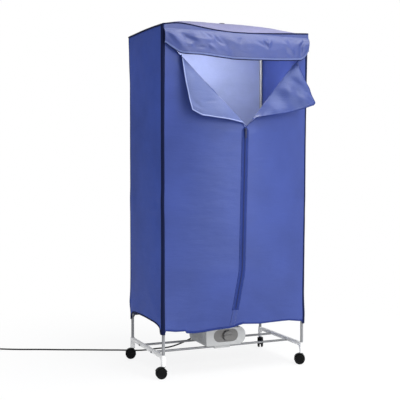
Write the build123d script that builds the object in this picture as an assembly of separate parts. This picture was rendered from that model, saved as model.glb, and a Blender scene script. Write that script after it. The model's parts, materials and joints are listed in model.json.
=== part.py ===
from build123d import *
from math import cos, pi, radians, sin, sqrt
import os

os.makedirs("parts", exist_ok=True)

# Portable electric clothes dryer: a tube frame on four casters with a fan heater under a fabric cover.
# Millimetres. X to the right, Y to the back, Z up. The origin is on the floor, midway between the four posts.

# Frame
post_pitch_x = 660.0
post_pitch_y = 400.0
post_radius = 6.5
post_wall = 1.2
rail_radius = 9.5
rail_wall = 1.5
rail_height = 90.0
rail_bend = 28.0
leg_radius = 10.2
leg_bottom = 52.0
leg_top = 98.0
post_insert = 24.0
slim_radius = 5.0
slim_wall = 1.0
slim_pitch = 154.0
slim_height = 87.0
coupler_height = 720.0
coupler_length = 50.0
coupler_wall = 1.4
coupler_web = 4.0
hoop_height = 1459.0
hoop_bend = 30.0
hoop_leg = 59.0
spigot_length = 30.0
screw_radius = 2.4
screw_head_radius = 4.5
screw_head_height = 2.6
screw_reach = 12.0
fit_gap = 0.05

# Casters
wheel_radius = 23.0
wheel_width = 10.6
wheel_shoulder = 3.0
wheel_dish_radius = 15.0
wheel_dish_depth = 1.6
wheel_hub_radius = 6.0
axle_radius = 3.0
axle_inset = 2.0
caster_trail = 9.0
caster_web = 5.0
caster_gap = 0.5
hood_wall = 1.5
hood_start = 20.0
hood_sweep = 140.0
stem_radius = 4.0
stem_length = 14.0
stem_clear = 1.0
socket_flange = 2.0
socket_length = 17.0
socket_radius = 7.5
caster_headings = {"front_left": -8.0, "front_right": -28.0, "rear_left": -18.0, "rear_right": 64.0}

# Heater
heater_centre_x = 3.5
heater_width = 194.0
heater_front = -96.0
heater_back = 90.0
heater_height = 80.0
heater_wall = 2.5
heater_corner = 10.0
heater_end_corner = 37.0
heater_rear_round = 30.0
tray_height = 8.0
fascia_thickness = 6.0
fascia_inset = 1.5
bezel_length = 118.0
bezel_height = 56.0
bezel_thickness = 2.0
bezel_recess = 1.2
bezel_centre_x = 2.5
bezel_centre_z = 136.5
knob_centre_x = 8.0
knob_radius = 22.0
knob_depth = 13.0
knob_gap = 0.6
knob_taper = 1.6
knob_grip_width = 9.0
knob_grip_height = 4.0
knob_well_radius = 24.5
knob_well_depth = 1.0
shaft_radius = 3.0
timer_width = 44.0
timer_height = 40.0
timer_depth = 28.0
terminal_thickness = 1.0
terminal_length = 7.5
shaft_clear = 1.0
neck_length = 124.0
neck_depth = 104.0
neck_corner = 14.0
neck_height = 33.0
neck_centre_y = 5.0
louvre_count = 9
louvre_pitch = 14.0
louvre_width = 4.0
louvre_height = 40.0
grille_slots = 9
grille_pitch = 12.0
grille_slot = 7.0
grille_thickness = 4.0
core_slots = 15
core_pitch = 7.4
core_slot = 5.4
core_thickness = 15.0
core_drop = 14.0
motor_radius = 18.0
motor_height = 22.0
motor_chamfer = 2.0
motor_shaft_radius = 2.0
fan_clear = 4.0
fan_radius = 46.0
fan_hub_radius = 12.0
fan_hub_height = 14.0
fan_hub_round = 3.0
fan_blade_root = 10.0
fan_root_share = 0.8
fan_tip_share = 1.9
fan_blades = 7
fan_blade_thickness = 1.6
fan_pitch_root = 42.0
fan_pitch_tip = 24.0
clip_centre_x = -8.0
clip_length = 75.0
clip_wall = 3.0
case_screw_radius = 3.0
case_screw_height = 2.0
case_screw_inset = 45.0
strain_length = 30.0
strain_base_radius = 6.5
strain_tip_radius = 4.6
strain_flange = 3.0
strain_flange_radius = 7.5
strain_ribs = 4
strain_groove = 1.8

# Power cord
cord_radius = 3.5
cord_exit_x = 14.0
cord_exit_z = 130.0
cord_bend_share = 0.45
cord_route = [
    (14, 120, 130), (14, 150, 130), (12, 196, 112), (4, 238, 79), (-14, 272, 51), (-48, 302, 28),
    (-84, 324, 11), (-118, 338, 3.9), (-160, 341, 3.7), (-214, 330, 3.7), (-262, 336, 3.7), (-322, 372, 3.7),
    (-404, 408, 3.7), (-498, 454, 3.7), (-590, 494, 3.7), (-684, 542, 3.7), (-772, 578, 3.7),
    (-852, 622, 3.7), (-906, 664, 3.7),
]
coil_inner_radius = 34.0
coil_step = 9.8
coil_layer = 7.6
coil_quarters = 5
coil_tail = 34.0
plug_length = 30.0
plug_width = 37.0
plug_shoulder = 12.0
plug_corner = 10.0
plug_neck = 14.0
plug_neck_radius = 5.0
plug_tip_radius = 4.5
pin_radius = 2.4
pin_length = 19.0
pin_pitch = 19.0
pin_root_radius = 1.9
pin_root_length = 8.0

# Cover
cloth = 1.6
cover_offset = 10.0
trim_rise = 10.0
trim_side = hoop_height + trim_rise
crown_rise = 48.0
crown = trim_side + crown_rise
lip_drop = 23.0
lip_bottom = trim_side - lip_drop
v_drop = 420.0
v_point = (8.0, trim_side - v_drop)
zip_clear = 5.0
zip_top = v_point[1] - zip_clear
zip_line = [(-24, 160), (-12.5, 272), (3, 440), (3, zip_top + 1)]
zip_bottom = zip_line[1][1]
shoulder_drop = 28.0
form_margin = 43.0
cover_levels = [
    (160, -8), (300, 25), (440, 52), (zip_line[3][1], 80),
    (trim_side - shoulder_drop, 3), (crown + form_margin, 3),
]
back_share = 0.4
side_bulge = 5.0
hem_front = [
    (-350, 186), (-328, 186), (-324, 199), (-229, 190), (-226, 184), (-143, 186), (-18, 196),
    (34, 198), (38, 206), (126, 206), (240, 204), (324, 198), (328, 186), (350, 186),
]
hem_corner = 186.0
hem_side_low = 197.0
hem_side_high = 228.0
hem_back = 200.0
ear_width = 12.0
ear_slope = 4.0
trim_sag = 19.0
dome_power = 2.4
dome_steps = 6
dome_end = 350.0
dome_side = 290.0
tape_half = 16.0
chain_width = 5.0
chain_height = 2.2
fold_left = (-345.0, trim_side - 39.0)
fold_right = (345.0, trim_side - 64.0)
slider_length = 16.0
slider_drop = 9.6
slider_width = 11.0
slider_height = 5.5
slider_gap = 0.3
slider_wall = 1.2
bail_radius = 0.8
bail_height = 3.0
pull_length = 30.0
pull_width = 8.0
pull_thickness = 1.4
floor_cloth_height = 298.0
sleeve_flare = 30.0
sleeve_overlap = 14.0
vent_radius = 9.0
vent_place = (0.0, -60.0)
part_gap = 0.4

# Valance: place along X, drop of the lower edge below the lip and how far it stands forward of the posts
valance_rows = [
    (-336, 52, 24), (-296, 75, 32), (-255, 106, 45), (-205, 114, 54), (-150, 117, 50), (-70, 116, 60),
    (0, 114, 55), (80, 111, 62), (150, 109, 54), (230, 106, 50), (300, 100, 42), (338, 90, 34),
]
valance_belly = 5.0

# Lapels: fold point, free-edge point and belly of each row, from the V point up. Heights are drops below the trim.
left_lapel_rows = [
    ((-20, -287, 388), (-31, -303, 396), 2),
    ((-88, -268, 314.4), (-112, -312, 388), 8),
    ((-155, -249.4, 242), (-241, -296, 349), 14),
    ((-200, -236.8, 193.5), (-252, -276, 269), 9),
    ((-228, -229, 163.3), (-252, -252, 191), 3),
]
right_lapel_rows = [
    ((62, -279, 361.5), (72, -300, 373), 2),
    ((120, -263.2, 300.7), (183, -312, 361), 9),
    ((185, -245.3, 232.7), (326, -302, 316), 16),
    ((240, -230, 175.1), (309, -274, 220), 10),
    ((268, -222.5, 145.8), (290, -248, 163), 3),
]
lapel_outward = (0, -1, 0.4)

# Places that follow from the sizes above
half_x = post_pitch_x / 2
half_y = post_pitch_y / 2
heater_low = slim_height + slim_radius
heater_high = heater_low + heater_height
case_left = heater_centre_x - heater_width / 2
case_right = heater_centre_x + heater_width / 2
neck_high = heater_high + neck_height
motor_low = heater_low + heater_wall
motor_high = motor_low + motor_height
fan_low = motor_high + fan_clear
plug_face = plug_neck + plug_shoulder + plug_length
corners = {
    "front_left": (-half_x, -half_y),
    "front_right": (half_x, -half_y),
    "rear_left": (-half_x, half_y),
    "rear_right": (half_x, half_y),
}


def save(shape, node):
    export_step(shape, f"parts/{node}.step")


def rod(start, end, radius):
    axis = Vector(*end) - Vector(*start)
    return extrude(Plane(origin=start, z_dir=axis) * Circle(radius), axis.length)


def pipe(start, end, outer, inner):
    return rod(start, end, outer) - rod(start, end, inner)


def swept(path, radius):
    return sweep(Plane(origin=path @ 0, z_dir=path % 0) * Circle(radius), path=path)


def block(low, high):
    size = [b - a for a, b in zip(low, high)]
    return Pos(*low) * Box(*size, align=Align.MIN)


def upright(outline, low, high):
    """A prism from an outline drawn in X and Z, from y = low to y = high."""
    face = Plane(origin=(0, high, 0), x_dir=(1, 0, 0), z_dir=(0, -1, 0)) * outline
    return extrude(face, high - low)


# Frame


def base_rail(side):
    x = side * half_x
    turn = leg_bottom + socket_flange
    path = FilletPolyline(
        (x, -half_y, turn), (x, -half_y, rail_height), (x, half_y, rail_height), (x, half_y, turn),
        radius=rail_bend,
    )
    rail = swept(path, rail_radius)
    straight = half_y - rail_bend
    for y in (-half_y, half_y):
        rail += rod((x, y, leg_bottom), (x, y, leg_top), leg_radius)
    rail -= rod((x, -straight, rail_height), (x, straight, rail_height), rail_radius - rail_wall)
    for y in (-half_y, half_y):
        rail -= rod((x, y, leg_top - post_insert), (x, y, leg_top), post_radius + fit_gap)
        rail -= rod((x, y, leg_bottom), (x, y, leg_bottom + socket_length), socket_radius + fit_gap)
    return rail - screw_holes(x, slim_height)


def screw_holes(x, z):
    reach = 2 * rail_radius
    front, rear = (
        rod((x - reach, y, z), (x + reach, y, z), screw_radius + fit_gap)
        for y in (-slim_pitch / 2, slim_pitch / 2)
    )
    return front + rear


def slim_rail(y, z, carrier_radius, carrier_height):
    """A slim tube between the side frames, coped to the round tubes at its ends."""
    rail = pipe((-half_x, y, z), (half_x, y, z), slim_radius, slim_radius - slim_wall)
    for x in (-half_x, half_x):
        reach = 2 * rail_radius
        rail -= rod((x, y - reach, carrier_height), (x, y + reach, carrier_height), carrier_radius)
    return rail


def rail_screw(side, y, z, carrier_radius):
    """A pan-head screw through the side tube, and the plug that it holds in the slim tube's end."""
    outer = side * (half_x + carrier_radius)
    plug_end = side * (half_x - carrier_radius - screw_reach)
    plug_start = side * (half_x - carrier_radius - slim_wall)
    head = rod((outer, y, z), (outer + side * screw_head_height, y, z), screw_head_radius)
    rims = head.edges().filter_by(GeomType.CIRCLE).sort_by(Axis.X)
    head = fillet(rims[-1 if side > 0 else 0], screw_head_height / 2)
    shank = rod((outer, y, z), (plug_end, y, z), screw_radius)
    plug = rod((plug_start, y, z), (plug_end, y, z), slim_radius - slim_wall)
    return head + shank + plug


def rail_screws():
    sets = ((slim_height, rail_radius), (hoop_height, post_radius))
    return Compound(
        children=[
            rail_screw(side, y, z, carrier)
            for z, carrier in sets
            for side in (-1, 1)
            for y in (-slim_pitch / 2, slim_pitch / 2)
        ]
    )


def leg_socket(x, y):
    flange = rod((x, y, leg_bottom - socket_flange), (x, y, leg_bottom), leg_radius)
    body = rod((x, y, leg_bottom), (x, y, leg_bottom + socket_length), socket_radius)
    mouth = leg_bottom - socket_flange
    bore = rod((x, y, mouth), (x, y, mouth + stem_length + stem_clear), stem_radius + fit_gap)
    return flange + body - bore


def lower_post(x, y):
    foot = leg_top - post_insert
    top = coupler_height - coupler_web / 2
    return pipe((x, y, foot), (x, y, top), post_radius, post_radius - post_wall)


def upper_post(x, y):
    foot = coupler_height + coupler_web / 2
    return pipe((x, y, foot), (x, y, hoop_height - hoop_leg), post_radius, post_radius - post_wall)


def coupler(x, y):
    low = coupler_height - coupler_length / 2
    high = coupler_height + coupler_length / 2
    bore = post_radius + fit_gap
    sleeve = pipe((x, y, low), (x, y, high), post_radius + coupler_wall, bore)
    web = rod((x, y, coupler_height - coupler_web / 2), (x, y, coupler_height + coupler_web / 2), bore)
    return sleeve + web


def top_hoop(side):
    x = side * half_x
    foot = hoop_height - hoop_leg
    path = FilletPolyline(
        (x, -half_y, foot), (x, -half_y, hoop_height), (x, half_y, hoop_height), (x, half_y, foot),
        radius=hoop_bend,
    )
    bore = post_radius - post_wall
    hoop = swept(path, post_radius) - swept(path, bore)
    for y in (-half_y, half_y):
        hoop += rod((x, y, foot), (x, y, foot + screw_reach), bore)
        hoop += rod((x, y, foot - spigot_length), (x, y, foot), bore - fit_gap)
    return hoop - screw_holes(x, hoop_height)


# Casters


def caster_place(corner):
    x, y = corners[corner]
    return Pos(x, y, 0) * Rot(0, 0, caster_headings[corner])


def caster_yoke(corner):
    """Hood, web, stem and axle. The caster rolls along its own X, and the axle trails behind the stem."""
    axle = (-caster_trail, wheel_radius)
    inner = wheel_radius + caster_gap
    outer = inner + hood_wall
    half = caster_web / 2 + caster_gap + wheel_width
    side_plane = Plane(origin=(axle[0], 0, axle[1]), x_dir=(1, 0, 0), z_dir=(0, -1, 0))
    ring = Circle(outer) - Circle(inner)
    wedge_points = [(0, 0)] + [
        (2 * outer * cos(radians(a)), 2 * outer * sin(radians(a)))
        for a in (hood_start, hood_start + hood_sweep / 2, hood_start + hood_sweep)
    ]
    hood = extrude(side_plane * (ring & make_face(Polyline(*wedge_points, close=True))), half, both=True)
    web_room = Pos(0, outer / 2) * Rectangle(2 * outer, outer + 2 * wheel_hub_radius)
    web_disc = Circle(outer - hood_wall / 2) & web_room
    web = extrude(side_plane * web_disc, caster_web / 2, both=True)
    top = leg_bottom - socket_flange - caster_gap
    foot = (0, 0, wheel_radius + wheel_radius / 2)
    collar = rod(foot, (0, 0, top), stem_radius + hood_wall)
    collar &= block((-wheel_radius, -half, wheel_radius), (wheel_radius, half, top))
    stem = rod(foot, (0, 0, top + stem_length), stem_radius)
    clear = Cylinder(inner, wheel_width + caster_gap, rotation=(90, 0, 0))
    offset = caster_web / 2 + (wheel_width + caster_gap) / 2
    room = Pos(axle[0], offset, axle[1]) * clear + Pos(axle[0], -offset, axle[1]) * clear
    pin = rod((axle[0], -half + axle_inset, axle[1]), (axle[0], half - axle_inset, axle[1]), axle_radius)
    return caster_place(corner) * (hood + web + (collar + stem - room) + pin)


def caster_wheel(corner, side):
    """A wheel with a rounded tread and a dished outer face round its hub, turned about the axle."""
    inner = caster_web / 2 + caster_gap
    outer = inner + wheel_width
    bore = axle_radius + fit_gap
    blind = outer - axle_inset + caster_gap / 2
    profile = Polyline(
        (bore, inner),
        (wheel_radius, inner),
        (wheel_radius, outer - wheel_shoulder),
        (wheel_dish_radius + wheel_shoulder, outer),
        (wheel_dish_radius, outer - wheel_dish_depth),
        (wheel_hub_radius, outer - wheel_dish_depth),
        (wheel_hub_radius, outer),
        (0, outer),
        (0, blind),
        (bore, blind),
        close=True,
    )
    wheel = revolve(Plane.XY * make_face(profile), Axis.Y)
    wheel = fillet(wheel.edges().filter_by(GeomType.CIRCLE).group_by(SortBy.RADIUS)[-1], caster_gap * 2)
    turn = Rot(0, 0, 0) if side > 0 else Rot(0, 0, 180)
    return caster_place(corner) * Pos(-caster_trail, 0, wheel_radius) * turn * wheel


# Heater


def case_face(inset):
    """The case seen from the front: small corners on the left, a nearly half-round end on the right."""
    face = Rectangle(heater_width - 2 * inset, heater_height - 2 * inset)
    ordered = face.vertices().sort_by(Axis.X)
    face = fillet(ordered[:2], heater_corner - inset)
    face = fillet(face.vertices().sort_by(Axis.X)[-2:], heater_end_corner - inset)
    return Pos(heater_centre_x, (heater_low + heater_high) / 2) * face


def case_form(inset):
    """The case's outer form, or the form inside its wall: its side profile crossed with its front profile."""
    front = heater_front + inset
    back = heater_back - inset
    low = heater_low + inset
    high = heater_high - inset
    bend = heater_rear_round - inset
    side = Polyline((back, low + bend), (back, high), (front, high), (front, low), (back - bend, low))
    side += RadiusArc((back - bend, low), (back, low + bend), -bend)
    side_face = Plane(origin=(case_left, 0, 0), x_dir=(0, 1, 0), z_dir=(1, 0, 0)) * make_face(side)
    long_form = extrude(side_face, heater_width)
    return long_form & upright(case_face(inset), front, back)


def neck_form(inset, low, high):
    outline = RectangleRounded(neck_length - 2 * inset, neck_depth - 2 * inset, neck_corner - inset)
    return extrude(Pos(heater_centre_x, neck_centre_y, low) * outline, high - low)


def knob_rod(front, back, radius):
    """A cylinder on the knob's axis, from y = front to y = back."""
    return rod((knob_centre_x, front, bezel_centre_z), (knob_centre_x, back, bezel_centre_z), radius)


def louvres():
    """Upright slots through both side walls of the case."""
    first = -(louvre_count - 1) / 2
    middle = (heater_low + tray_height + heater_high) / 2
    cuts = [
        Pos(heater_centre_x, (first + n) * louvre_pitch, middle)
        * Box(2 * heater_width, louvre_width, louvre_height)
        for n in range(louvre_count)
    ]
    return Compound(children=cuts)


def heater_case():
    case = case_form(0) - case_form(heater_wall)
    case += neck_form(0, heater_high - heater_wall, neck_high)
    case -= neck_form(heater_wall, heater_high - 2 * heater_wall, neck_high)
    floor = heater_low + tray_height
    case &= block((2 * case_left, 2 * heater_front, floor), (2 * case_right, 2 * heater_back, neck_high))
    case -= louvres()
    case -= knob_rod(2 * heater_front, 0, 2 * shaft_radius)
    case -= rod((cord_exit_x, 0, cord_exit_z), (cord_exit_x, 2 * heater_back, cord_exit_z), strain_tip_radius)
    return case


def heater_tray():
    """The bottom of the case, with intake slots under the fan and a clip under the front rail."""
    tray = case_form(0) - case_form(heater_wall)
    ceiling = heater_low + tray_height
    tray &= block((2 * case_left, 2 * heater_front, 0), (2 * case_right, 2 * heater_back, ceiling))
    for turn in range(fan_blades + 1):
        angle = 2 * pi * turn / (fan_blades + 1)
        slot = extrude(SlotCenterToCenter(fan_radius / 2, louvre_width), 4 * heater_wall)
        place = Pos(heater_centre_x, neck_centre_y, heater_low - heater_wall) * Rot(0, 0, angle * 180 / pi)
        tray -= place * Pos(fan_radius * 0.75, 0, 0) * slot
    for y in (-slim_pitch / 2, slim_pitch / 2):
        tray += rail_clip(y)
    return tray


def rail_clip(y):
    """A moulded hook that reaches down in front of a floor rail and turns in below it."""
    half = clip_length / 2
    inner = slim_radius + fit_gap
    low = slim_height - inner - clip_wall
    high = heater_low + tray_height / 2
    front = y - inner - clip_wall
    hook = block((clip_centre_x - half, front, low), (clip_centre_x + half, y + inner, high))
    hook -= rod((-half_x, y, slim_height), (half_x, y, slim_height), inner)
    hook -= block((-half_x, y, slim_height - inner), (half_x, y + 2 * inner, heater_low))
    hook -= block((-half_x, y + slim_radius / 2, 0), (half_x, y + 2 * inner, heater_low))
    return hook


def heater_fascia():
    face = heater_front - fascia_thickness
    fascia = upright(case_face(fascia_inset), face, heater_front)
    front_edges = fascia.edges().group_by(Axis.Y)[0]
    fascia = fillet(front_edges, fascia_inset)
    pocket = Pos(bezel_centre_x, bezel_centre_z) * SlotOverall(bezel_length, bezel_height)
    fascia -= upright(pocket, face - fascia_inset, face + bezel_recess + bezel_thickness)
    return fascia - knob_rod(face, heater_front, 2 * shaft_radius)


def control_bezel():
    face = heater_front - fascia_thickness + bezel_recess
    plate = Pos(bezel_centre_x, bezel_centre_z) * SlotOverall(bezel_length, bezel_height)
    bezel = upright(plate, face, face + bezel_thickness)
    bezel -= knob_rod(face, face + knob_well_depth, knob_well_radius)
    return bezel - knob_rod(face, 0, shaft_radius + 2 * knob_gap)


def control_knob():
    """A round knob with a grip bar across it, on the timer's shaft."""
    seat = heater_front - fascia_thickness + bezel_recess + knob_well_depth - knob_gap
    spot = Plane(origin=(knob_centre_x, seat, bezel_centre_z), x_dir=(1, 0, 0), z_dir=(0, -1, 0))
    skirt = loft([spot * Circle(knob_radius), spot.offset(knob_depth) * Circle(knob_radius - knob_taper)])
    skirt = fillet(skirt.edges().group_by(Axis.Y)[0], knob_taper)
    grip_length = 2 * (knob_radius - 2 * knob_taper)
    grip_top = knob_depth + knob_grip_height
    bar = extrude(spot * SlotOverall(grip_length, knob_grip_width), grip_top)
    bar = fillet(bar.edges().group_by(Axis.Y)[0], knob_taper)
    mark = Pos(knob_radius - 4 * knob_taper, 0) * Rectangle(4 * knob_taper, knob_taper)
    pointer = extrude(spot * mark, grip_top + knob_taper / 4)
    shaft = knob_rod(seat, heater_front + heater_wall + timer_depth / 2, shaft_radius)
    return skirt + bar + pointer + shaft


def timer_unit():
    """The mechanical timer behind the knob: a box with a bush round the shaft and two terminals."""
    front = heater_front + heater_wall
    low = (knob_centre_x - timer_width / 2, front, bezel_centre_z - timer_height / 2)
    high = (knob_centre_x + timer_width / 2, front + timer_depth, bezel_centre_z + timer_height / 2)
    body = block(low, high)
    body += knob_rod(heater_front, front, 2 * shaft_radius)
    for x in (-timer_width / 4, timer_width / 4):
        spot = (knob_centre_x + x, high[1], bezel_centre_z)
        body += Pos(*spot) * Box(terminal_thickness, 2 * terminal_length, 2 * shaft_radius)
    shaft_end = front + timer_depth / 2
    return body - knob_rod(heater_front, shaft_end + shaft_clear, shaft_radius + fit_gap)


def outlet_grille():
    plate = neck_form(heater_wall, neck_high - grille_thickness, neck_high)
    first = -(grille_slots - 1) / 2
    for n in range(grille_slots):
        slot = extrude(SlotOverall(neck_depth - 2 * neck_corner, grille_slot), 2 * grille_thickness)
        x = heater_centre_x + (first + n) * grille_pitch
        plate -= Pos(x, neck_centre_y, neck_high - 1.5 * grille_thickness) * Rot(0, 0, 90) * slot
    return plate


def heating_core():
    """The ceramic heating block, open from below to above between its fins."""
    high = neck_high - core_drop
    low = high - core_thickness
    core = neck_form(heater_wall, low, high)
    first = -(core_slots - 1) / 2
    for n in range(core_slots):
        spot = Pos(heater_centre_x + (first + n) * core_pitch, neck_centre_y, (low + high) / 2)
        core -= spot * Box(core_slot, neck_depth - 2 * neck_corner, 2 * core_thickness)
    return core


def fan_motor():
    spot = (heater_centre_x, neck_centre_y)
    motor = rod((*spot, motor_low), (*spot, motor_high), motor_radius)
    motor = chamfer(motor.edges().group_by(Axis.Z)[-1], motor_chamfer)
    motor += rod((*spot, motor_high), (*spot, fan_low + fan_hub_height / 2), motor_shaft_radius)
    return motor


def fan_impeller():
    """Hub with pitched blades, each lofted from a steep root to a flat tip."""
    hub = rod((0, 0, fan_low), (0, 0, fan_low + fan_hub_height), fan_hub_radius)
    hub = fillet(hub.edges().group_by(Axis.Z)[-1], fan_hub_round)
    chord = fan_hub_height / sin(radians(fan_pitch_root)) * fan_root_share
    root = blade_section(fan_blade_root, fan_pitch_root, chord)
    tip = blade_section(fan_radius, fan_pitch_tip, chord * fan_tip_share)
    blade = loft([root, tip]) & rod((0, 0, 0), (0, 0, 2 * fan_low), fan_radius)
    for n in range(fan_blades):
        hub += Rot(0, 0, 360 * n / fan_blades) * blade
    hub -= rod((0, 0, 0), (0, 0, fan_low + fan_hub_height / 2 + shaft_clear), motor_shaft_radius + fit_gap)
    return Pos(heater_centre_x, neck_centre_y, 0) * hub


def blade_section(reach, pitch, chord):
    turn = radians(pitch)
    middle = fan_low + fan_hub_height / 2
    plane = Plane(origin=(reach, 0, middle), x_dir=(0, cos(turn), sin(turn)), z_dir=(1, 0, 0))
    return plane * Rectangle(chord, fan_blade_thickness)


def case_screws():
    """Screws up through the tray's corners into the case."""
    screws = []
    for x in (case_left + case_screw_inset, case_right - case_screw_inset):
        for y in (heater_front + case_screw_inset, heater_back - heater_rear_round - case_screw_inset):
            screws.append(rod((x, y, heater_low - case_screw_height), (x, y, heater_low), case_screw_radius))
    return Compound(children=screws)


def strain_relief():
    """The ribbed, tapered sleeve that holds the cord where it leaves the case."""
    start = heater_back - heater_wall
    spot = Plane(origin=(cord_exit_x, heater_back, cord_exit_z), x_dir=(1, 0, 0), z_dir=(0, 1, 0))
    body = rod((cord_exit_x, start, cord_exit_z), (cord_exit_x, heater_back, cord_exit_z), strain_tip_radius)
    body += extrude(spot * Circle(strain_flange_radius), strain_flange)
    body += loft([spot * Circle(strain_base_radius), spot.offset(strain_length) * Circle(strain_tip_radius)])
    ring = Circle(2 * strain_base_radius) - Circle(strain_tip_radius)
    for n in range(strain_ribs):
        at = strain_flange * 2 + n * (strain_length - 3 * strain_flange) / strain_ribs
        body -= extrude(spot.offset(at) * ring, strain_groove)
    return body


# Power cord


def cord_radii():
    """One radius a corner: a share of the shorter run beside it, for bends as wide as they can be."""
    points = [Vector(*p) for p in cord_route]
    radii = []
    for before, here, after in zip(points, points[1:], points[2:]):
        run_in = here - before
        run_out = after - here
        half_turn = radians(run_in.get_angle(run_out)) / 2
        radii.append(cord_bend_share * min(run_in.length, run_out.length) * cos(half_turn) / sin(half_turn))
    return radii


def power_cord():
    radii = cord_radii()
    path = FilletPolyline(*cord_route, radius=radii)
    cord = swept(path, cord_radius)
    print("cord radii", [round(r) for r in radii], "least", round(min(radii), 1))
    print("cord length", round(path.length, 1), "by volume", round(cord.volume / (pi * cord_radius**2), 1))
    return cord


cord_heading = (Vector(*cord_route[-1]) - Vector(*cord_route[-2])).normalized()
cord_left = Vector(0, 0, 1).cross(cord_heading)


def coil_stations():
    """Points and headings a quarter turn apart: in on the floor, up in a half turn, and out on top."""
    outer = coil_inner_radius + coil_step * coil_quarters / 4
    centre = Vector(*cord_route[-1]) + cord_left * outer
    turns = [(n, outer - coil_step * n / 4, 0) for n in range(coil_quarters + 1)]
    turns += [(n + 2, coil_inner_radius + coil_step * (n - coil_quarters) / 4, coil_layer)
              for n in range(coil_quarters, 2 * coil_quarters + 1)]
    stations = []
    for quarter, radius, rise in turns:
        angle = quarter * pi / 2
        outward = -cord_left * cos(angle) + cord_heading * sin(angle)
        heading = cord_left * sin(angle) + cord_heading * cos(angle)
        stations.append((centre + outward * radius + Vector(0, 0, rise), heading))
    return stations


def biarc(start, start_heading, end, end_heading):
    """Two tangent arcs from one point and heading to another."""
    across = end - start
    both = start_heading + end_heading
    lean = across.dot(both)
    spare = 4 - both.dot(both)
    reach = (-lean + sqrt(lean * lean + spare * across.dot(across))) / spare
    middle = (start + start_heading * reach + end - end_heading * reach) * 0.5
    first = TangentArc(start, middle, tangent=start_heading)
    second = TangentArc(end, middle, tangent=end_heading * -1)
    return [first, second]


def coil_path():
    stations = coil_stations()
    arcs = []
    for (start, start_heading), (end, end_heading) in zip(stations, stations[1:]):
        arcs += biarc(start, start_heading, end, end_heading)
    end, heading = stations[-1]
    arcs.append(Line(end, end + heading * coil_tail))
    return Wire([edge for arc in arcs for edge in arc.edges()])


def least_gap(path, samples=360):
    """The least gap between the tube and itself, on points more than an eighth of a turn apart."""
    points = [path.position_at(n / samples) for n in range(samples + 1)]
    apart = int(samples * coil_inner_radius * pi / 2 / path.length)
    gaps = [(a - b).length for n, a in enumerate(points) for b in points[n + apart:]]
    return min(gaps) - 2 * cord_radius


def cord_coil():
    path = coil_path()
    start, heading = coil_stations()[0]
    coil = sweep(Plane(origin=start, z_dir=heading) * Circle(cord_radius), path=path)
    print("coil length", round(path.length, 1), "by volume", round(coil.volume / (pi * cord_radius**2), 1))
    print("coil's least gap to itself", round(least_gap(path), 2))
    return coil


def plug_plane():
    end, heading = coil_stations()[-1]
    return Plane(origin=end + heading * coil_tail, x_dir=Vector(0, 0, 1).cross(heading), z_dir=heading)


def plug_body():
    """A two-pin plug with a slim tapered neck, as thick as lets it lie on the floor."""
    plane = plug_plane()
    thickness = 2 * (coil_layer + cord_radius)
    face = RectangleRounded(plug_width, thickness, plug_corner)
    collar = plane.offset(plug_neck) * Circle(plug_neck_radius)
    neck = loft([plane * Circle(plug_tip_radius), collar])
    shoulder = loft([collar, plane.offset(plug_neck + plug_shoulder) * face])
    body = extrude(plane.offset(plug_neck + plug_shoulder) * face, plug_length)
    for side in (-1, 1):
        place = plane.offset(plug_face - pin_root_length) * Pos(side * pin_pitch / 2, 0)
        body -= extrude(place * Circle(pin_root_radius), pin_root_length)
    return neck + shoulder + body


def plug_pins():
    pins = []
    for side in (-1, 1):
        spot = plug_plane().offset(plug_face) * Pos(side * pin_pitch / 2, 0)
        pin = extrude(spot * Circle(pin_radius), pin_length)
        pins.append(pin + extrude(spot * Circle(pin_root_radius), -pin_root_length))
    return Compound(children=pins)


# Cover


def level_bulge(z):
    """How far the cover's front stands out midway between the posts at a height."""
    for (low, low_bulge), (high, high_bulge) in zip(cover_levels, cover_levels[1:]):
        if z <= high:
            return low_bulge + (high_bulge - low_bulge) * (z - low) / (high - low)
    return cover_levels[-1][1]


def front_face(x, z):
    """The y of the cover's outer front face."""
    return -(half_y + cover_offset + level_bulge(z) * (1 - (x / half_x) ** 2))


def cover_outline(front, inset):
    """The cover's plan: four bowed sides joined round the posts."""
    r = cover_offset - inset
    near = r * sqrt(0.5)
    bows = [
        ((-half_x, -half_y - r), (0, -half_y - r - front), (half_x, -half_y - r)),
        ((half_x, -half_y - r), (half_x + near, -half_y - near), (half_x + r, -half_y)),
        ((half_x + r, -half_y), (half_x + r + side_bulge, 0), (half_x + r, half_y)),
        ((half_x + r, half_y), (half_x + near, half_y + near), (half_x, half_y + r)),
        ((half_x, half_y + r), (0, half_y + r + back_share * front), (-half_x, half_y + r)),
        ((-half_x, half_y + r), (-half_x - near, half_y + near), (-half_x - r, half_y)),
        ((-half_x - r, half_y), (-half_x - r - side_bulge, 0), (-half_x - r, -half_y)),
        ((-half_x - r, -half_y), (-half_x - near, -half_y - near), (-half_x, -half_y - r)),
    ]
    return make_face([edge for bow in bows for edge in ThreePointArc(*bow).edges()])


def cover_form(inset):
    return loft([Pos(0, 0, z) * cover_outline(front, inset) for z, front in cover_levels], ruled=True)


def trim_height(x):
    return trim_side - trim_sag * (1 - (x / half_x) ** 2)


def dome_height(x, y):
    """The height of the cover's top, which falls from its crown to the trims over its four sides."""
    edge = trim_height(x) if abs(x) < half_x else trim_side
    across = abs(x) / dome_end
    top = crown + (trim_side + cloth - crown) * across**dome_power
    return edge + (top - edge) * (1 - (y / (half_y + cover_offset)) ** 2)


def dome_form():
    """Everything under the cover's top, down to the floor."""
    steps = range(-dome_steps, dome_steps + 1)
    xs = [dome_end * n / dome_steps for n in steps]
    ys = [dome_side * n / dome_steps for n in steps]
    grid = [[Vector(x, y, dome_height(x, y)) for y in ys] for x in xs]
    return extrude(Face.make_surface_from_array_of_points(grid), crown, dir=(0, 0, -1))


def plan_zone(points):
    return extrude(make_face(Polyline(*points, close=True)), 2 * crown)


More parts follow.
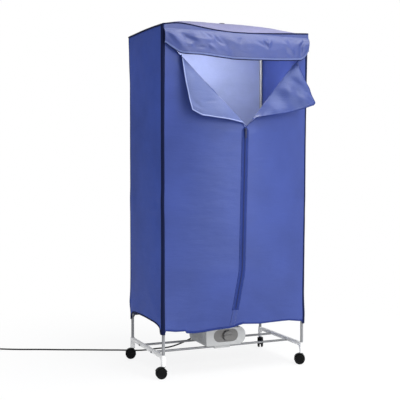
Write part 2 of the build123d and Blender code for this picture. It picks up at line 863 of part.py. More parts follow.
def side_zones():
    """Four wedges in plan, parted by the diagonals through the posts."""
    far = half_x
    outer = {
        name: (x + (far if x > 0 else -far), y + (far if y > 0 else -far)) for name, (x, y) in corners.items()
    }
    pairs = {
        "front": ("front_left", "front_right"), "right": ("front_right", "rear_right"),
        "back": ("rear_right", "rear_left"), "left": ("rear_left", "front_left"),
    }
    return {side: plan_zone([corners[a], outer[a], outer[b], corners[b]]) for side, (a, b) in pairs.items()}


def below_front_hem():
    end = hem_front[-1][0]
    outline = Polyline(*hem_front, (end, 0), (-end, 0), close=True)
    return upright(make_face(outline), -2 * half_x, 0)


def below_side_hem():
    ear = half_y - ear_width
    step = ear - ear_slope
    far = 2 * half_y
    outline = Polyline(
        (step, hem_side_low), (ear, hem_corner), (far, hem_corner), (far, 0), (-far, 0), (-far, hem_corner),
        (-ear, hem_corner), (-step, hem_side_low),
    ).edges()
    outline += ThreePointArc((-step, hem_side_low), (0, hem_side_high), (step, hem_side_low)).edges()
    face = Plane(origin=(-2 * half_x, 0, 0), x_dir=(0, 1, 0), z_dir=(1, 0, 0)) * make_face(outline)
    return extrude(face, 4 * half_x)


def below_back_hem():
    ear = half_x - ear_width / 2
    far = 2 * half_x
    outline = Polyline(
        (-far, hem_corner), (-ear, hem_corner), (-ear + ear_slope, hem_back), (ear - ear_slope, hem_back),
        (ear, hem_corner), (far, hem_corner), (far, 0), (-far, 0), close=True,
    )
    return upright(make_face(outline), 0, 2 * half_x)


def door_zone(side):
    """The front's area left or right of the zip and below the fold that runs from the V up to the corner."""
    end, top = fold_left if side < 0 else fold_right
    outline = [(end, 0), (zip_line[0][0], 0), *zip_line[:-1], (zip_line[-1][0], zip_top), v_point, (end, top)]
    return upright(make_face(Polyline(*outline, close=True)), -2 * half_x, 0)


def zip_middle():
    return [(zip_line[1][0], zip_bottom), zip_line[2], (zip_line[3][0], zip_top)]


def tape_zone():
    left = [(x - tape_half, z) for x, z in zip_middle()]
    right = [(x + tape_half, z) for x, z in reversed(zip_middle())]
    return upright(make_face(Polyline(*left, v_point, *right, close=True)), -2 * half_x, 0)


def zip_teeth():
    sections = []
    for x, z in zip_middle():
        outer = front_face(x, z) - chain_height
        depth = chain_height + cloth / 2
        sections.append(Pos(x, outer + depth / 2, z) * Rectangle(chain_width, depth))
    return loft(sections, ruled=True)


def top_panel(dome, lower_dome, outer, walls, front_zone):
    panel = (dome - lower_dome) & outer
    far = 2 * half_x
    lip = walls & front_zone & lower_dome & block((-far, -far, lip_bottom), (far, far, lip_bottom + crown))
    vent = rod((*vent_place, trim_side), (*vent_place, 2 * crown), vent_radius)
    return panel + lip - vent


def floor_cloth(inner):
    """The cloth under the hanging space, with a sleeve that narrows down to the heater's neck."""
    slab = Pos(0, 0, floor_cloth_height + cloth / 2) * Box(4 * half_x, 4 * half_y, cloth)
    below = floor_cloth_height - cloth
    above = floor_cloth_height + 2 * cloth
    sheet = (slab & inner) - neck_form(-sleeve_flare, below, above)
    for x, y in corners.values():
        sheet -= rod((x, y, below), (x, y, above), post_radius + part_gap)

    def sleeve_side(grow):
        levels = [(neck_high, 0), (floor_cloth_height + cloth, sleeve_flare)]
        faces = []
        for z, flare in levels:
            wide = flare + grow
            outline = RectangleRounded(neck_length + 2 * wide, neck_depth + 2 * wide, neck_corner + wide)
            faces.append(Pos(heater_centre_x, neck_centre_y, z) * outline)
        return loft(faces, ruled=True)

    sleeve = sleeve_side(cloth) - sleeve_side(0)
    collar_low = neck_high - sleeve_overlap
    collar = neck_form(-cloth, collar_low, neck_high) - neck_form(0, collar_low, neck_high)
    return sheet + sleeve + collar


# Valance, lapels and zip slider


def strip(start, end, belly, outward):
    """A bowed strip of cloth seen end on, from its hung edge to its free edge."""
    a = Vector(*start)
    b = Vector(*end)
    along = (b - a).normalized()
    out = Vector(*outward)
    out = (out - along * out.dot(along)).normalized()
    middle = (a + b) * 0.5 + out * belly
    thick = out * cloth
    inner = ThreePointArc(a, middle, b).edges()
    outer = ThreePointArc(b + thick, middle + thick, a + thick).edges()
    return make_face(inner + Line(b, b + thick).edges() + outer + Line(a + thick, a).edges())


def valance():
    hung_y = front_face(0, lip_bottom) - part_gap
    sections = []
    for x, drop, forward in valance_rows:
        free = (x, -half_y - forward, lip_bottom - drop)
        sections.append(strip((x, hung_y, lip_bottom - part_gap), free, valance_belly, (0, -1, 0)))
    return loft(sections)


def below_trim(place):
    x, y, drop = place
    return x, y, trim_side - drop


def lapel(rows):
    sections = [strip(below_trim(fold), below_trim(edge), belly, lapel_outward) for fold, edge, belly in rows]
    return loft(sections, ruled=True)


def slider_plane():
    """On the zip just below the V: X to the right, Y up along the chain, Z out of the cover."""
    low_x, low_z = zip_line[2]
    high_x, high_z = zip_line[3]
    low = Vector(low_x, front_face(low_x, low_z), low_z)
    high = Vector(high_x, front_face(high_x, high_z), high_z)
    along = (high - low).normalized()
    centre = high - along * (high_z - zip_top + slider_drop)
    return Plane(origin=centre, x_dir=(1, 0, 0), z_dir=Vector(1, 0, 0).cross(along))


def zip_slider():
    plane = slider_plane()
    face = SlotOverall(slider_length, slider_width, rotation=90)
    body = extrude(plane.offset(slider_gap) * face, slider_height)
    body = chamfer(body.faces().sort_by(Axis.Y)[0].edges(), slider_wall / 2)
    groove = Rectangle(chain_width + 2 * slider_gap, 2 * slider_length)
    body -= extrude(plane * groove, chain_height + slider_gap)
    top = plane.offset(slider_gap + slider_height)
    for side in (-1, 1):
        ear = Pos(side * (slider_width / 2 - slider_wall), 0) * Rectangle(slider_wall, 3 * slider_wall)
        body += extrude(top.offset(-slider_wall) * ear, bail_height + 2 * slider_wall)
    pin_plane = Plane(origin=bail_centre() - Vector(slider_width / 2 - slider_wall, 0, 0), z_dir=(1, 0, 0))
    return body + extrude(pin_plane * Circle(bail_radius), slider_width - 2 * slider_wall)


def bail_centre():
    return slider_plane().offset(slider_gap + slider_height + bail_height - slider_wall / 2).origin


def zip_pull():
    """A flat tab that hangs plumb from an eye on the slider's pin."""
    centre = bail_centre()
    half_eye = slider_width / 2 - 2 * slider_wall
    eye_plane = Plane(origin=centre - Vector(half_eye, 0, 0), x_dir=(0, 1, 0), z_dir=(1, 0, 0))
    eye = extrude(eye_plane * Circle(bail_radius + slider_wall), 2 * half_eye)
    tab_plane = Plane(origin=centre + Vector(0, pull_thickness / 2, 0), x_dir=(1, 0, 0), z_dir=(0, -1, 0))
    outline = Pos(0, -pull_length / 2) * RectangleRounded(pull_width, pull_length, pull_width / 3)
    stem = Pos(0, -pull_width / 2) * Rectangle(2 * half_eye - slider_wall, pull_width)
    low = Pos(0, -pull_width / 2) * outline
    tab = extrude(tab_plane * low, pull_thickness) + extrude(tab_plane * stem, pull_thickness)
    hole = Pos(0, pull_width / 2 - pull_length) * SlotOverall(pull_width, pull_width / 3, rotation=90)
    tab -= extrude(tab_plane * hole, pull_thickness)
    bore = extrude(eye_plane * Circle(bail_radius + fit_gap), 2 * half_eye)
    return tab + eye - bore


# Files

for side, name in ((-1, "left"), (1, "right")):
    save(base_rail(side), f"{name}_base_rail")
    save(top_hoop(side), f"{name}_top_hoop")
for y, name in ((-slim_pitch / 2, "front"), (slim_pitch / 2, "rear")):
    save(slim_rail(y, slim_height, rail_radius, rail_height), f"{name}_floor_rail")
    save(slim_rail(y, hoop_height, post_radius, hoop_height), f"{name}_hanging_rail")
save(rail_screws(), "rail_screws")
save(Compound(children=[leg_socket(x, y) for x, y in corners.values()]), "leg_sockets")
save(Compound(children=[coupler(x, y) for x, y in corners.values()]), "post_couplers")
for corner, (x, y) in corners.items():
    save(lower_post(x, y), f"{corner}_lower_post")
    save(upper_post(x, y), f"{corner}_upper_post")
    save(caster_yoke(corner), f"{corner}_caster_yoke")
    save(caster_wheel(corner, -1), f"{corner}_inner_wheel")
    save(caster_wheel(corner, 1), f"{corner}_outer_wheel")

for maker in (
    heater_case, heater_tray, heater_fascia, control_bezel, control_knob, timer_unit, outlet_grille,
    heating_core, fan_motor, fan_impeller, case_screws, strain_relief, power_cord, cord_coil, plug_body,
    plug_pins, valance, zip_slider, zip_pull,
):
    save(maker(), maker.__name__)
save(lapel(left_lapel_rows), "left_lapel")
save(lapel(right_lapel_rows), "right_lapel")

outer_form = cover_form(0)
inner_form = cover_form(cloth)
dome = dome_form()
lower_dome = Pos(0, 0, -cloth) * dome
walls = outer_form - inner_form
zones = side_zones()
covered = walls & lower_dome
front = (covered & zones["front"]) - below_front_hem()
save(top_panel(dome, lower_dome, outer_form, walls, zones["front"]), "top_panel")
save((covered & zones["left"]) - below_side_hem(), "left_panel")
save((covered & zones["right"]) - below_side_hem(), "right_panel")
save((covered & zones["back"]) - below_back_hem(), "back_panel")
save((front & door_zone(-1)) - tape_zone(), "left_door")
save((front & door_zone(1)) - tape_zone(), "right_door")
save((front & tape_zone()) + zip_teeth(), "zip_chain")
save(floor_cloth(inner_form), "floor_cloth")
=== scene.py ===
import json
import math

import bpy
import numpy as np
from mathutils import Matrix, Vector, noise


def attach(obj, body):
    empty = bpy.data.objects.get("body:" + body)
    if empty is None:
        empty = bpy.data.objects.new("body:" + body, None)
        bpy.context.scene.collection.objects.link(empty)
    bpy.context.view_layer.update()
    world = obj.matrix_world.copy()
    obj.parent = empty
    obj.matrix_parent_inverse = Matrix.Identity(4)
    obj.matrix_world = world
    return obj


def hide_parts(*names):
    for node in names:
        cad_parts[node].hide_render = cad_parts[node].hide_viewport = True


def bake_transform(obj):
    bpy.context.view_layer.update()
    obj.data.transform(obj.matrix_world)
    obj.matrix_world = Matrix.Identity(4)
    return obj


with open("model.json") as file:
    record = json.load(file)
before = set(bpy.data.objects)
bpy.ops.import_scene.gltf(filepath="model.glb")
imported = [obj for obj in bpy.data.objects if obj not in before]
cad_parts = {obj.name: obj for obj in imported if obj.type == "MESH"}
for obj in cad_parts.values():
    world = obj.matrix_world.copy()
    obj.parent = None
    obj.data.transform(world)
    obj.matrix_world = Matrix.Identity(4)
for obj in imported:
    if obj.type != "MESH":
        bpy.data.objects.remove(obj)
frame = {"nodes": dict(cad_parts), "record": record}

bpy.context.view_layer.update()

# The cover's main sizes, in metres, as in the solids
POST_X = 0.33
POST_Y = 0.2
WRAP = 0.01
CLOTH = 0.0012
HEM = 0.186
EAR_STEP = 0.004
SIDE_EAR = 0.188
BACK_EAR = 0.324
BACK_RISE = 0.014
ARCH_TOP = 0.228
ARCH_FALL = (0.009, 0.012)
TRIM_SIDE = 1.469
TRIM_SAG = 0.019
FRONT_CORNERS = (1.462, 1.467)
DOME_TOP = 1.513
LIP = 1.4456
BACK_SHARE = 0.4
SIDE_BULGE = 0.005
V_POINT = (0.008, 1.049)
FOLD_TOPS = ((-0.345, 1.43), (0.345, 1.405))
FLOOR_CLOTH = 0.2995
SLIDE_LOW = 0.25
ZIP_END = 0.272
ZIP_TOP = 1.044
DOOR_GAP = 0.004

# The walls in their order round the cover, each with the seed of its unevenness
WALLS = {"front": 1.0, "right": 21.0, "back": 41.0, "left": 61.0}
LONG_WALLS = ("front", "back")

# The upright seams, each with the walls to its left and right, seen from outside
SEAMS = (("front_left", "left", "front"), ("front_right", "front", "right"),
         ("rear_right", "right", "back"), ("rear_left", "back", "left"))


# Camera and cord


def make_camera():
    data = bpy.data.cameras.new("camera")
    data.sensor_width = 36.0
    data.lens = 73.187
    data.clip_end = 60.0
    camera = bpy.data.objects.new("camera", data)
    camera.location = (-1.51284, -3.33988, 0.859311)
    camera.rotation_euler = (math.pi / 2 - 0.0345995, 0.0, -0.405596)
    bpy.context.scene.collection.objects.link(camera)
    bpy.context.scene.camera = camera


make_camera()

CORD_RADIUS = 0.0035
CORD_ON_FLOOR = 0.0037
CORD_ROUTE = [
    (0.014, 0.12, 0.13), (0.014, 0.15, 0.13), (0.012, 0.196, 0.112), (0.004, 0.238, 0.079),
    (-0.014, 0.272, 0.051), (-0.048, 0.302, 0.028), (-0.084, 0.324, 0.011), (-0.118, 0.338, 0.0039),
]
CORD_ROUTE += [(x, y, CORD_ON_FLOOR) for x, y in (
    (-0.16, 0.341), (-0.214, 0.33), (-0.262, 0.336), (-0.322, 0.372), (-0.404, 0.408), (-0.498, 0.454),
    (-0.59, 0.494), (-0.684, 0.542), (-0.772, 0.578), (-0.852, 0.622), (-0.906, 0.664),
)]
COIL_INNER = 0.034
COIL_STEP = 0.0098
COIL_LAYER = 0.0076
COIL_TAIL = 0.034
COIL_PARTS = 12


def coil_points():
    """Three turns: in on the floor, up a layer in the half turn where it reverses, and out again on top."""
    last, before = Vector(CORD_ROUTE[-1]), Vector(CORD_ROUTE[-2])
    ahead = (last - before).normalized()
    left = Vector((0, 0, 1)).cross(ahead)
    outer = COIL_INNER + COIL_STEP * 1.25
    centre = last + left * outer
    swell = 1 / (0.75 + 0.25 * math.cos(2 * math.pi / COIL_PARTS))
    points = []
    for n in range(1, 3 * COIL_PARTS):
        turn = n / COIL_PARTS
        if turn < 1.25:
            radius, rise = outer - COIL_STEP * turn, 0.0
        elif turn < 1.75:
            radius, rise = COIL_INNER, COIL_LAYER * (turn - 1.25) / 0.5
        else:
            radius, rise = COIL_INNER + COIL_STEP * (turn - 1.75), COIL_LAYER
        angle = turn * 2 * math.pi
        around = -left * math.cos(angle) + ahead * math.sin(angle)
        points.append(centre + around * radius * swell + Vector((0, 0, rise)))
    top = last + Vector((0, 0, COIL_LAYER))
    return points + [top, top + ahead * COIL_TAIL * 0.5, top + ahead * (COIL_TAIL + 0.002)]


def make_cord():
    data = bpy.data.curves.new("cord", "CURVE")
    data.dimensions = "3D"
    data.bevel_depth = 1.0
    data.bevel_resolution = 5
    data.resolution_u = 10
    data.use_fill_caps = True
    spline = data.splines.new("NURBS")
    points = [Vector(p) for p in CORD_ROUTE] + coil_points()
    spline.points.add(len(points) - 1)
    for point, place in zip(spline.points, points):
        point.co = (*place, 1.0)
        point.radius = CORD_RADIUS
    spline.order_u = 3
    spline.use_endpoint_u = True
    cord = bpy.data.objects.new("cord", data)
    bpy.context.scene.collection.objects.link(cord)
    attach(cord, "dryer")
    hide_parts("power_cord", "cord_coil")
    return cord


cord = make_cord()


# Materials


def linear(*rgb):
    return tuple(((c / 255 + 0.055) / 1.055) ** 2.4 if c > 10 else c / 255 / 12.92 for c in rgb)


class Nodes:
    """The node tree of a material or a world, with short calls to make and join nodes."""

    def __init__(self, owner):
        self.owner = owner
        owner.use_nodes = True
        self.tree = owner.node_tree
        self.bsdf = self.tree.nodes.get("Principled BSDF")

    def feed(self, socket, value):
        """Give an input its value, or join it where the value is a pair of a node and its output's name."""
        if isinstance(value, tuple) and isinstance(value[0], bpy.types.Node):
            self.tree.links.new(value[0].outputs[value[1]], socket)
        else:
            socket.default_value = value

    def put(self, node, **values):
        for key, value in values.items():
            if hasattr(node, key):
                setattr(node, key, value)
            else:
                self.feed(node.inputs[key.replace("_", " ")], value)
        return node

    def add(self, kind, *inputs, **values):
        """A new node, with its named properties and inputs, and the rest of its inputs in their order."""
        node = self.put(self.tree.nodes.new(kind), **values)
        for socket, value in zip(node.inputs, inputs):
            if value is not None:
                self.feed(socket, value)
        return node

    def finish(self, shader, output="Material Output"):
        self.feed(self.tree.nodes[output].inputs["Surface"], (shader, "Shader"))
        return self.owner


def mottle(nodes, drift, colour, spread):
    """The colour, darker and lighter by a share along a slow drift."""
    node = nodes.add("ShaderNodeValToRGB", Fac=(drift, "Fac"))
    for stop, place, factor in zip(node.color_ramp.elements, (0.3, 0.7), (1 - spread, 1 + spread)):
        stop.position = place
        stop.color = (*(min(1.0, c * factor) for c in colour), 1)
    return node


BAND_PERIOD = 0.314


def cloth_material(name, colour, spread=0.12, roughness=0.55, sheen=0.02, through=0.0, yarn=0.0011,
                   crumple=0.35, shine=0.3, gloss=(1, 1, 1)):
    """Plain woven cloth: yarns from its own measure, colour drift, fine crumple, some light through it."""
    nodes = Nodes(bpy.data.materials.new(name))
    uv = nodes.add("ShaderNodeUVMap")
    place = nodes.add("ShaderNodeTexCoord")
    across, along = (
        nodes.add("ShaderNodeTexWave", wave_type="BANDS", bands_direction=way, Scale=BAND_PERIOD / yarn,
                  Vector=(uv, "UV"))
        for way in "XY")
    weave = nodes.add("ShaderNodeMath", (across, "Fac"), (along, "Fac"), operation="MAXIMUM")
    drift = nodes.add("ShaderNodeTexNoise", Scale=5.0, Detail=4.0, Roughness=0.55, Vector=(place, "Object"))
    stretch = nodes.add("ShaderNodeMapping", Scale=(14.0, 14.0, 60.0), Vector=(place, "Object"))
    fine = nodes.add("ShaderNodeTexNoise", Scale=1.0, Detail=5.0, Roughness=0.6, Vector=(stretch, "Vector"))
    shade = mottle(nodes, drift, colour, spread)
    thread = nodes.add("ShaderNodeMix", data_type="RGBA", blend_type="MULTIPLY", Factor=0.18,
                       A=(shade, "Color"), B=(weave, "Value"))
    big = nodes.add("ShaderNodeBump", Strength=crumple, Distance=0.004, Height=(fine, "Fac"))
    small = nodes.add("ShaderNodeBump", Strength=0.22, Distance=0.00025, Height=(weave, "Value"),
                      Normal=(big, "Normal"))
    nodes.put(nodes.bsdf, Base_Color=(thread, "Result"), Normal=(small, "Normal"), Roughness=roughness,
              Sheen_Weight=sheen, Sheen_Roughness=0.4, Specular_IOR_Level=shine, Specular_Tint=(*gloss, 1))
    if not through:
        return nodes.owner
    glow = nodes.add("ShaderNodeBsdfTranslucent", Color=(thread, "Result"))
    return nodes.finish(nodes.add("ShaderNodeMixShader", through, (nodes.bsdf, "BSDF"), (glow, "BSDF")))


def moulded_material(name, colour, roughness=0.5, grain=0.0006, spread=0.06, coat=0.0, metallic=0.0,
                     bump=0.12, shine=0.5):
    """Moulded or painted surface: fine grain, slight unevenness of colour and gloss."""
    nodes = Nodes(bpy.data.materials.new(name))
    place = nodes.add("ShaderNodeTexCoord")
    drift = nodes.add("ShaderNodeTexNoise", Scale=22.0, Detail=4.0, Vector=(place, "Object"))
    fine = nodes.add("ShaderNodeTexNoise", Scale=0.4 / grain, Detail=2.0, Vector=(place, "Object"))
    shade = mottle(nodes, drift, colour, spread)
    gloss = nodes.add("ShaderNodeMapRange", To_Min=roughness * 0.85, To_Max=min(1.0, roughness * 1.15),
                      Value=(drift, "Fac"))
    relief = nodes.add("ShaderNodeBump", Strength=bump, Distance=grain, Height=(fine, "Fac"))
    nodes.put(nodes.bsdf, Base_Color=(shade, "Color"), Roughness=(gloss, "Result"), Normal=(relief, "Normal"),
              Metallic=metallic, Coat_Weight=coat, Specular_IOR_Level=shine)
    return nodes.owner


SKY = (0.72, 0.82, 1.0)
CLOTHS = {
    "blue_cloth": ((60, 76, 146), dict(roughness=0.4, sheen=0.04, through=0.2, shine=0.45, gloss=SKY)),
    # painted light and shade: the side walls' copy of blue_cloth, recoloured and given less shine for how the
    # light falls on the sides
    "side_cloth_painted_shade": ((60, 85, 172), dict(roughness=0.5, sheen=0.0, through=0.2, shine=0.12)),
    # painted shade: the valance is the same blue cloth, given a darker colour for the shade in its crumples
    "valance_blue_painted_shade": ((56, 71, 132), dict(roughness=0.36, sheen=0.04, through=0.15, shine=0.5, crumple=0.5)),
    "lining_cloth": ((168, 180, 220), dict(roughness=0.42, sheen=0.04, through=0.55)),
    "flap_cloth": ((91, 104, 154), dict(roughness=0.42, sheen=0.05, through=0.15, crumple=0.5)),
    # painted shade: the right lapel's face is the blue cloth, darkened for the shade under the valance
    "flap_blue_painted_shade": (
        (59, 73, 135), dict(roughness=0.4, sheen=0.05, through=0.15, crumple=0.5, shine=0.45, gloss=SKY)),
    "top_cloth": ((166, 166, 202), dict(roughness=0.5, sheen=0.04, through=0.5, crumple=0.6)),
    "navy_tape": ((34, 50, 112), dict(roughness=0.7, yarn=0.0016, crumple=0.1, shine=0.15)),
    "binding_cloth": ((11, 20, 56), dict(roughness=0.75, yarn=0.0014, crumple=0.1, shine=0.12)),
    # painted highlight: a paler cloth for the highlights along the left lapel's edge fold and on the stitches
    # below the zip
    "pale_painted_highlight": ((136, 148, 196), dict(roughness=0.45, crumple=0.2)),
}
MOULDINGS = {
    "thread_blue": ((120, 134, 190), dict(roughness=0.6, grain=0.0003)),
    "white_paint": ((234, 234, 233), dict(roughness=0.42, coat=0.1, spread=0.01)),
    "grey_paint": ((129, 130, 132), dict(roughness=0.36, coat=0.2, metallic=0.2)),
    "grey_plastic": ((96, 96, 97), dict(roughness=0.5)),
    "screw_steel": ((120, 120, 124), dict(roughness=0.35, metallic=0.9, grain=0.0002)),
    "black_plastic": ((6, 6, 7), dict(roughness=0.55, spread=0.15, shine=0.12)),
    "heater_plastic": ((178, 179, 178), dict(roughness=0.5, grain=0.0008, bump=0.2, spread=0.03)),
    "control_plastic": ((106, 105, 103), dict(roughness=0.48, spread=0.04)),
    "fin_metal": ((170, 170, 172), dict(roughness=0.3, metallic=0.9)),
    "motor_metal": ((84, 84, 88), dict(roughness=0.4, metallic=0.6)),
    "cord_rubber": ((13, 13, 14), dict(roughness=0.5, spread=0.1, shine=0.25)),
    "pin_metal": ((205, 198, 176), dict(roughness=0.25, metallic=1.0, grain=0.0002)),
    "zip_enamel": ((26, 34, 72), dict(roughness=0.5, grain=0.0002, shine=0.3)),
}
LOOKS = {name: cloth_material(name, linear(*rgb), **rest) for name, (rgb, rest) in CLOTHS.items()}
LOOKS |= {name: moulded_material(name, linear(*rgb), **rest) for name, (rgb, rest) in MOULDINGS.items()}
cord.data.materials.append(LOOKS["cord_rubber"])

# The slots of the solids whose looks have other names
SLOT_LOOKS = {"zip_metal": "zip_enamel", "zip_tape": "navy_tape"}
for part in frame["record"]["subparts"]:
    look = SLOT_LOOKS.get(part["material_slot"], part["material_slot"])
    for holder in frame["nodes"][part["node"]].material_slots:
        holder.material = LOOKS[look]


# Mesh helpers


def link(name, verts, faces, looks, uvs=None, smooth=True):
    data = bpy.data.meshes.new(name)
    data.from_pydata([tuple(map(float, v)) for v in verts], [], [tuple(map(int, f)) for f in faces])
    data.update()
    if uvs is not None:
        layer = data.uv_layers.new(name="UVMap")
        flat = np.array(uvs, float)[np.array([loop.vertex_index for loop in data.loops])]
        layer.data.foreach_set("uv", flat.ravel())
    if smooth:
        data.shade_smooth()
    else:
        data.shade_flat()
    for look in looks:
        data.materials.append(LOOKS[look])
    piece = bpy.data.objects.new(name, data)
    bpy.context.scene.collection.objects.link(piece)
    return piece


def lengths(points, axis):
    steps = np.linalg.norm(np.diff(points, axis=axis), axis=2)
    zero = np.zeros((points.shape[0], 1)) if axis == 1 else np.zeros((1, points.shape[1]))
    return np.concatenate([zero, np.cumsum(steps, axis=axis)], axis=axis)


def grid_faces(rows, cols):
    return [(r * cols + c, r * cols + c + 1, (r + 1) * cols + c + 1, (r + 1) * cols + c)
            for r in range(rows - 1) for c in range(cols - 1)]


def loft_faces(count, size, closed):
    """Faces round a profile of some size, carried over a count of places."""
    faces = []
    for r in range(count if closed else count - 1):
        here, after = r * size, (r + 1) % count * size
        for c in range(size):
            d = (c + 1) % size
            faces.append((here + c, here + d, after + d, after + c))
    return faces


def sheet_piece(name, points, outside, inside, thickness=CLOTH):
    """A sheet from a grid of points whose normals face its outer side, thickened inwards."""
    points = np.array(points, float)
    rows, cols = points.shape[:2]
    uvs = np.stack([lengths(points, 1), lengths(points, 0)], axis=2).reshape(-1, 2)
    piece = link(name, points.reshape(-1, 3), grid_faces(rows, cols), [outside, inside], uvs)
    thick = piece.modifiers.new("thickness", "SOLIDIFY")
    thick.thickness = thickness
    thick.offset = -1
    thick.material_offset = 1
    thick.material_offset_rim = 0
    return piece


def apply_modifiers(piece):
    graph = bpy.context.evaluated_depsgraph_get()
    data = bpy.data.meshes.new_from_object(piece.evaluated_get(graph))
    piece.modifiers.clear()
    piece.data = data
    return piece


def band(name, spots, profile, look, closed=False):
    """A profile of (along, out of the cloth) pairs, carried along a line of (place, normal) spots."""
    count, size = len(spots), len(profile)
    verts = []
    for n, (here, out) in enumerate(spots):
        before = spots[(n - 1) % count][0] if closed or n else here
        after = spots[(n + 1) % count][0] if closed or n < count - 1 else here
        ahead = (after - before).normalized()
        out = (out - ahead * out.dot(ahead)).normalized()
        side = ahead.cross(out)
        verts += [here + side * a + out * b for a, b in profile]
    faces = loft_faces(count, size, closed)
    if not closed:
        faces += [tuple(range(size))[::-1], tuple(range((count - 1) * size, count * size))]
    uvs = [(v * 0.004, n * 0.01) for n in range(count) for v in range(size)]
    return link(name, verts, faces, [look], uvs)


def flat_profile(width, height, sink=0.0006):
    """A low strip with rounded shoulders, its middle on the cloth."""
    half, edge, shoulder = width / 2, min(width / 4, height), height * 0.55
    return [(-half, -sink), (half, -sink), (half, shoulder), (half - edge, height), (edge - half, height),
            (-half, shoulder)]


def folded_profile(half, thick, swell):
    """A strip folded over an edge, flat on both faces, its two ends swelling a little."""
    return [(-half, -thick), (half, -thick), (half + swell, 0), (half, thick), (-half, thick),
            (-half - swell, 0)]


def stitches(name, lines, look, pitch=0.0042, length=0.003, radius=0.00035):
    """Short raised threads along lines of (place, normal) spots."""
    verts, faces = [], []
    for line in lines:
        carried = 0.0
        for (here, out), (after, _) in zip(line, line[1:]):
            step = (after - here).length
            if step < 1e-9:
                continue
            ahead = (after - here) / step
            out = out.normalized()
            side = ahead.cross(out).normalized()
            at = -carried % pitch
            while at < step:
                middle = here + ahead * at + out * radius * 0.6
                base = len(verts)
                verts += [middle - ahead * length / 2, middle + ahead * length / 2]
                for a in range(4):
                    angle = a * math.pi / 2
                    verts.append(middle + (side * math.cos(angle) + out * math.sin(angle)) * radius)
                for a in range(4):
                    b = (a + 1) % 4
                    faces += [(base, base + 2 + b, base + 2 + a), (base + 1, base + 2 + a, base + 2 + b)]
                at += pitch
            carried += step
    return link(name, verts, faces, [look])


def settle(piece, body, slot, *nodes):
    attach(piece, body)
    if nodes:
        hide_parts(*nodes)
    return piece


# The cover's surface


def softened(zs, values, spread):
    """A line through points with its corners rounded."""
    fine = np.linspace(zs[0] - 0.2, zs[-1] + 0.2, 1201)
    raw = np.interp(fine, zs, values)
    step = fine[1] - fine[0]
    reach = int(4 * spread / step)
    window = np.exp(-0.5 * (np.arange(-reach, reach + 1) * step / spread) ** 2)
    padded = np.pad(raw, reach, mode="edge")
    return fine, np.convolve(padded, window / window.sum(), mode="valid")


BULGE = softened([0.16, 0.3, 0.44, 1.045, 1.441, 1.56], [-0.008, 0.025, 0.052, 0.08, 0.003, 0.003], 0.018)
ZIP_X = softened([0.16, 0.272, 0.44, 1.1], [-0.024, -0.0125, 0.003, 0.003], 0.01)
FRONT_HEM = softened(
    [-0.35, -0.329, -0.3247, -0.2778, -0.2331, -0.228, -0.194, -0.1489, -0.1037, -0.0288, 0.0324, 0.0392,
     0.0752, 0.1145, 0.1763, 0.229, 0.2572, 0.3108, 0.325, 0.329, 0.35],
    [0.186, 0.186, 0.201, 0.1944, 0.1938, 0.1843, 0.1814, 0.1838, 0.188, 0.1914, 0.2056, 0.2051, 0.2027,
     0.2002, 0.2028, 0.2042, 0.2044, 0.1973, 0.197, 0.186, 0.186], 0.0015)
FRONT_TRIM = softened(
    [-0.34, -0.318, -0.287, -0.257, -0.216, -0.167, -0.107, -0.045, 0.0, 0.082, 0.212, 0.3, 0.34],
    [1.462, 1.466, 1.4715, 1.472, 1.4685, 1.461, 1.4535, 1.449, 1.448, 1.45, 1.458, 1.4645, 1.467], 0.01)


def at(line, value):
    return float(np.interp(value, *line))


def rough(x, y, z):
    return noise.noise(Vector((x, y, z)))


def bump(distance, width):
    return math.exp(-((distance / width) ** 2))


def crease(x, z, start, end, width, height):
    """A ridge or furrow along a short line, tapering to its ends."""
    ax, az = start
    dx, dz = end[0] - ax, end[1] - az
    t = ((x - ax) * dx + (z - az) * dz) / (dx * dx + dz * dz)
    inside = min(max(t, 0.0), 1.0)
    away = math.hypot(x - ax - dx * inside, z - az - dz * inside)
    return height * bump(away, width) * (0.35 + 0.65 * math.sin(math.pi * min(max(t, 0.02), 0.98)))


def creases(*rows):
    """Creases of a cloth, each from the two ends of its line, its width and its height, in millimetres."""
    rows = [[value / 1000 for value in row] for row in rows]
    return [((ax, az), (bx, bz), width, height) for ax, az, bx, bz, width, height in rows]


def drift(x, z, seed):
    """Slow and fine unevenness of hung cloth, drawn out sideways."""
    return (
        0.002 * rough(x * 3.0, z * 6.0, seed)
        + 0.001 * rough(x * 8.0, z * 26.0, seed + 5)
        + 0.0004 * rough(x * 30.0, z * 80.0, seed + 9)
    )


FRONT_CREASES = creases(
    (-310, 722, -200, 700, 10, 1.6), (-310, 732, -220, 765, 9, -1.2), (310, 722, 200, 705, 10, 1.6),
    (50, 905, 200, 925, 7, 1.4), (-120, 940, -20, 945, 6, 1.2), (30, 860, 100, 858, 6, 1.2),
    (-250, 885, -150, 868, 8, 1), (200, 560, 300, 570, 8, 1.2), (20, 1020, 100, 1040, 14, 1.8),
    (-10, 1020, -120, 1035, 14, 1.8), (-300, 240, -200, 250, 12, 1.4), (180, 250, 300, 240, 12, 1.4),
    (-300, 1330, -200, 1180, 22, 3), (300, 1300, 220, 1150, 22, 3),
)
SIDE_CREASES = creases(
    (130, 735, 185, 722, 16, -2.6), (-130, 742, -185, 722, 14, 1.8), (50, 690, 180, 716, 12, 1.6),
    (-160, 1420, 60, 1300, 30, 1.8), (170, 270, 20, 360, 28, 2.2), (-170, 270, -40, 340, 28, 2.2),
)


def unevenness(side, along, z):
    """How far the hung cloth stands off its even form, out of the cover."""
    half = POST_X if side in LONG_WALLS else POST_Y
    inner = max(0.0, 1 - (abs(along) / half) ** 6)
    top = min(1.0, max(0.0, (TRIM_SIDE - z) / 0.03))
    value = drift(along, z, WALLS[side])
    value += sum(crease(along, z, *c) for c in (FRONT_CREASES if side == "front" else SIDE_CREASES))
    if side == "front" and z > SLIDE_LOW:
        value *= 1 - bump(along - at(ZIP_X, z), 0.03)
    return value * inner * top


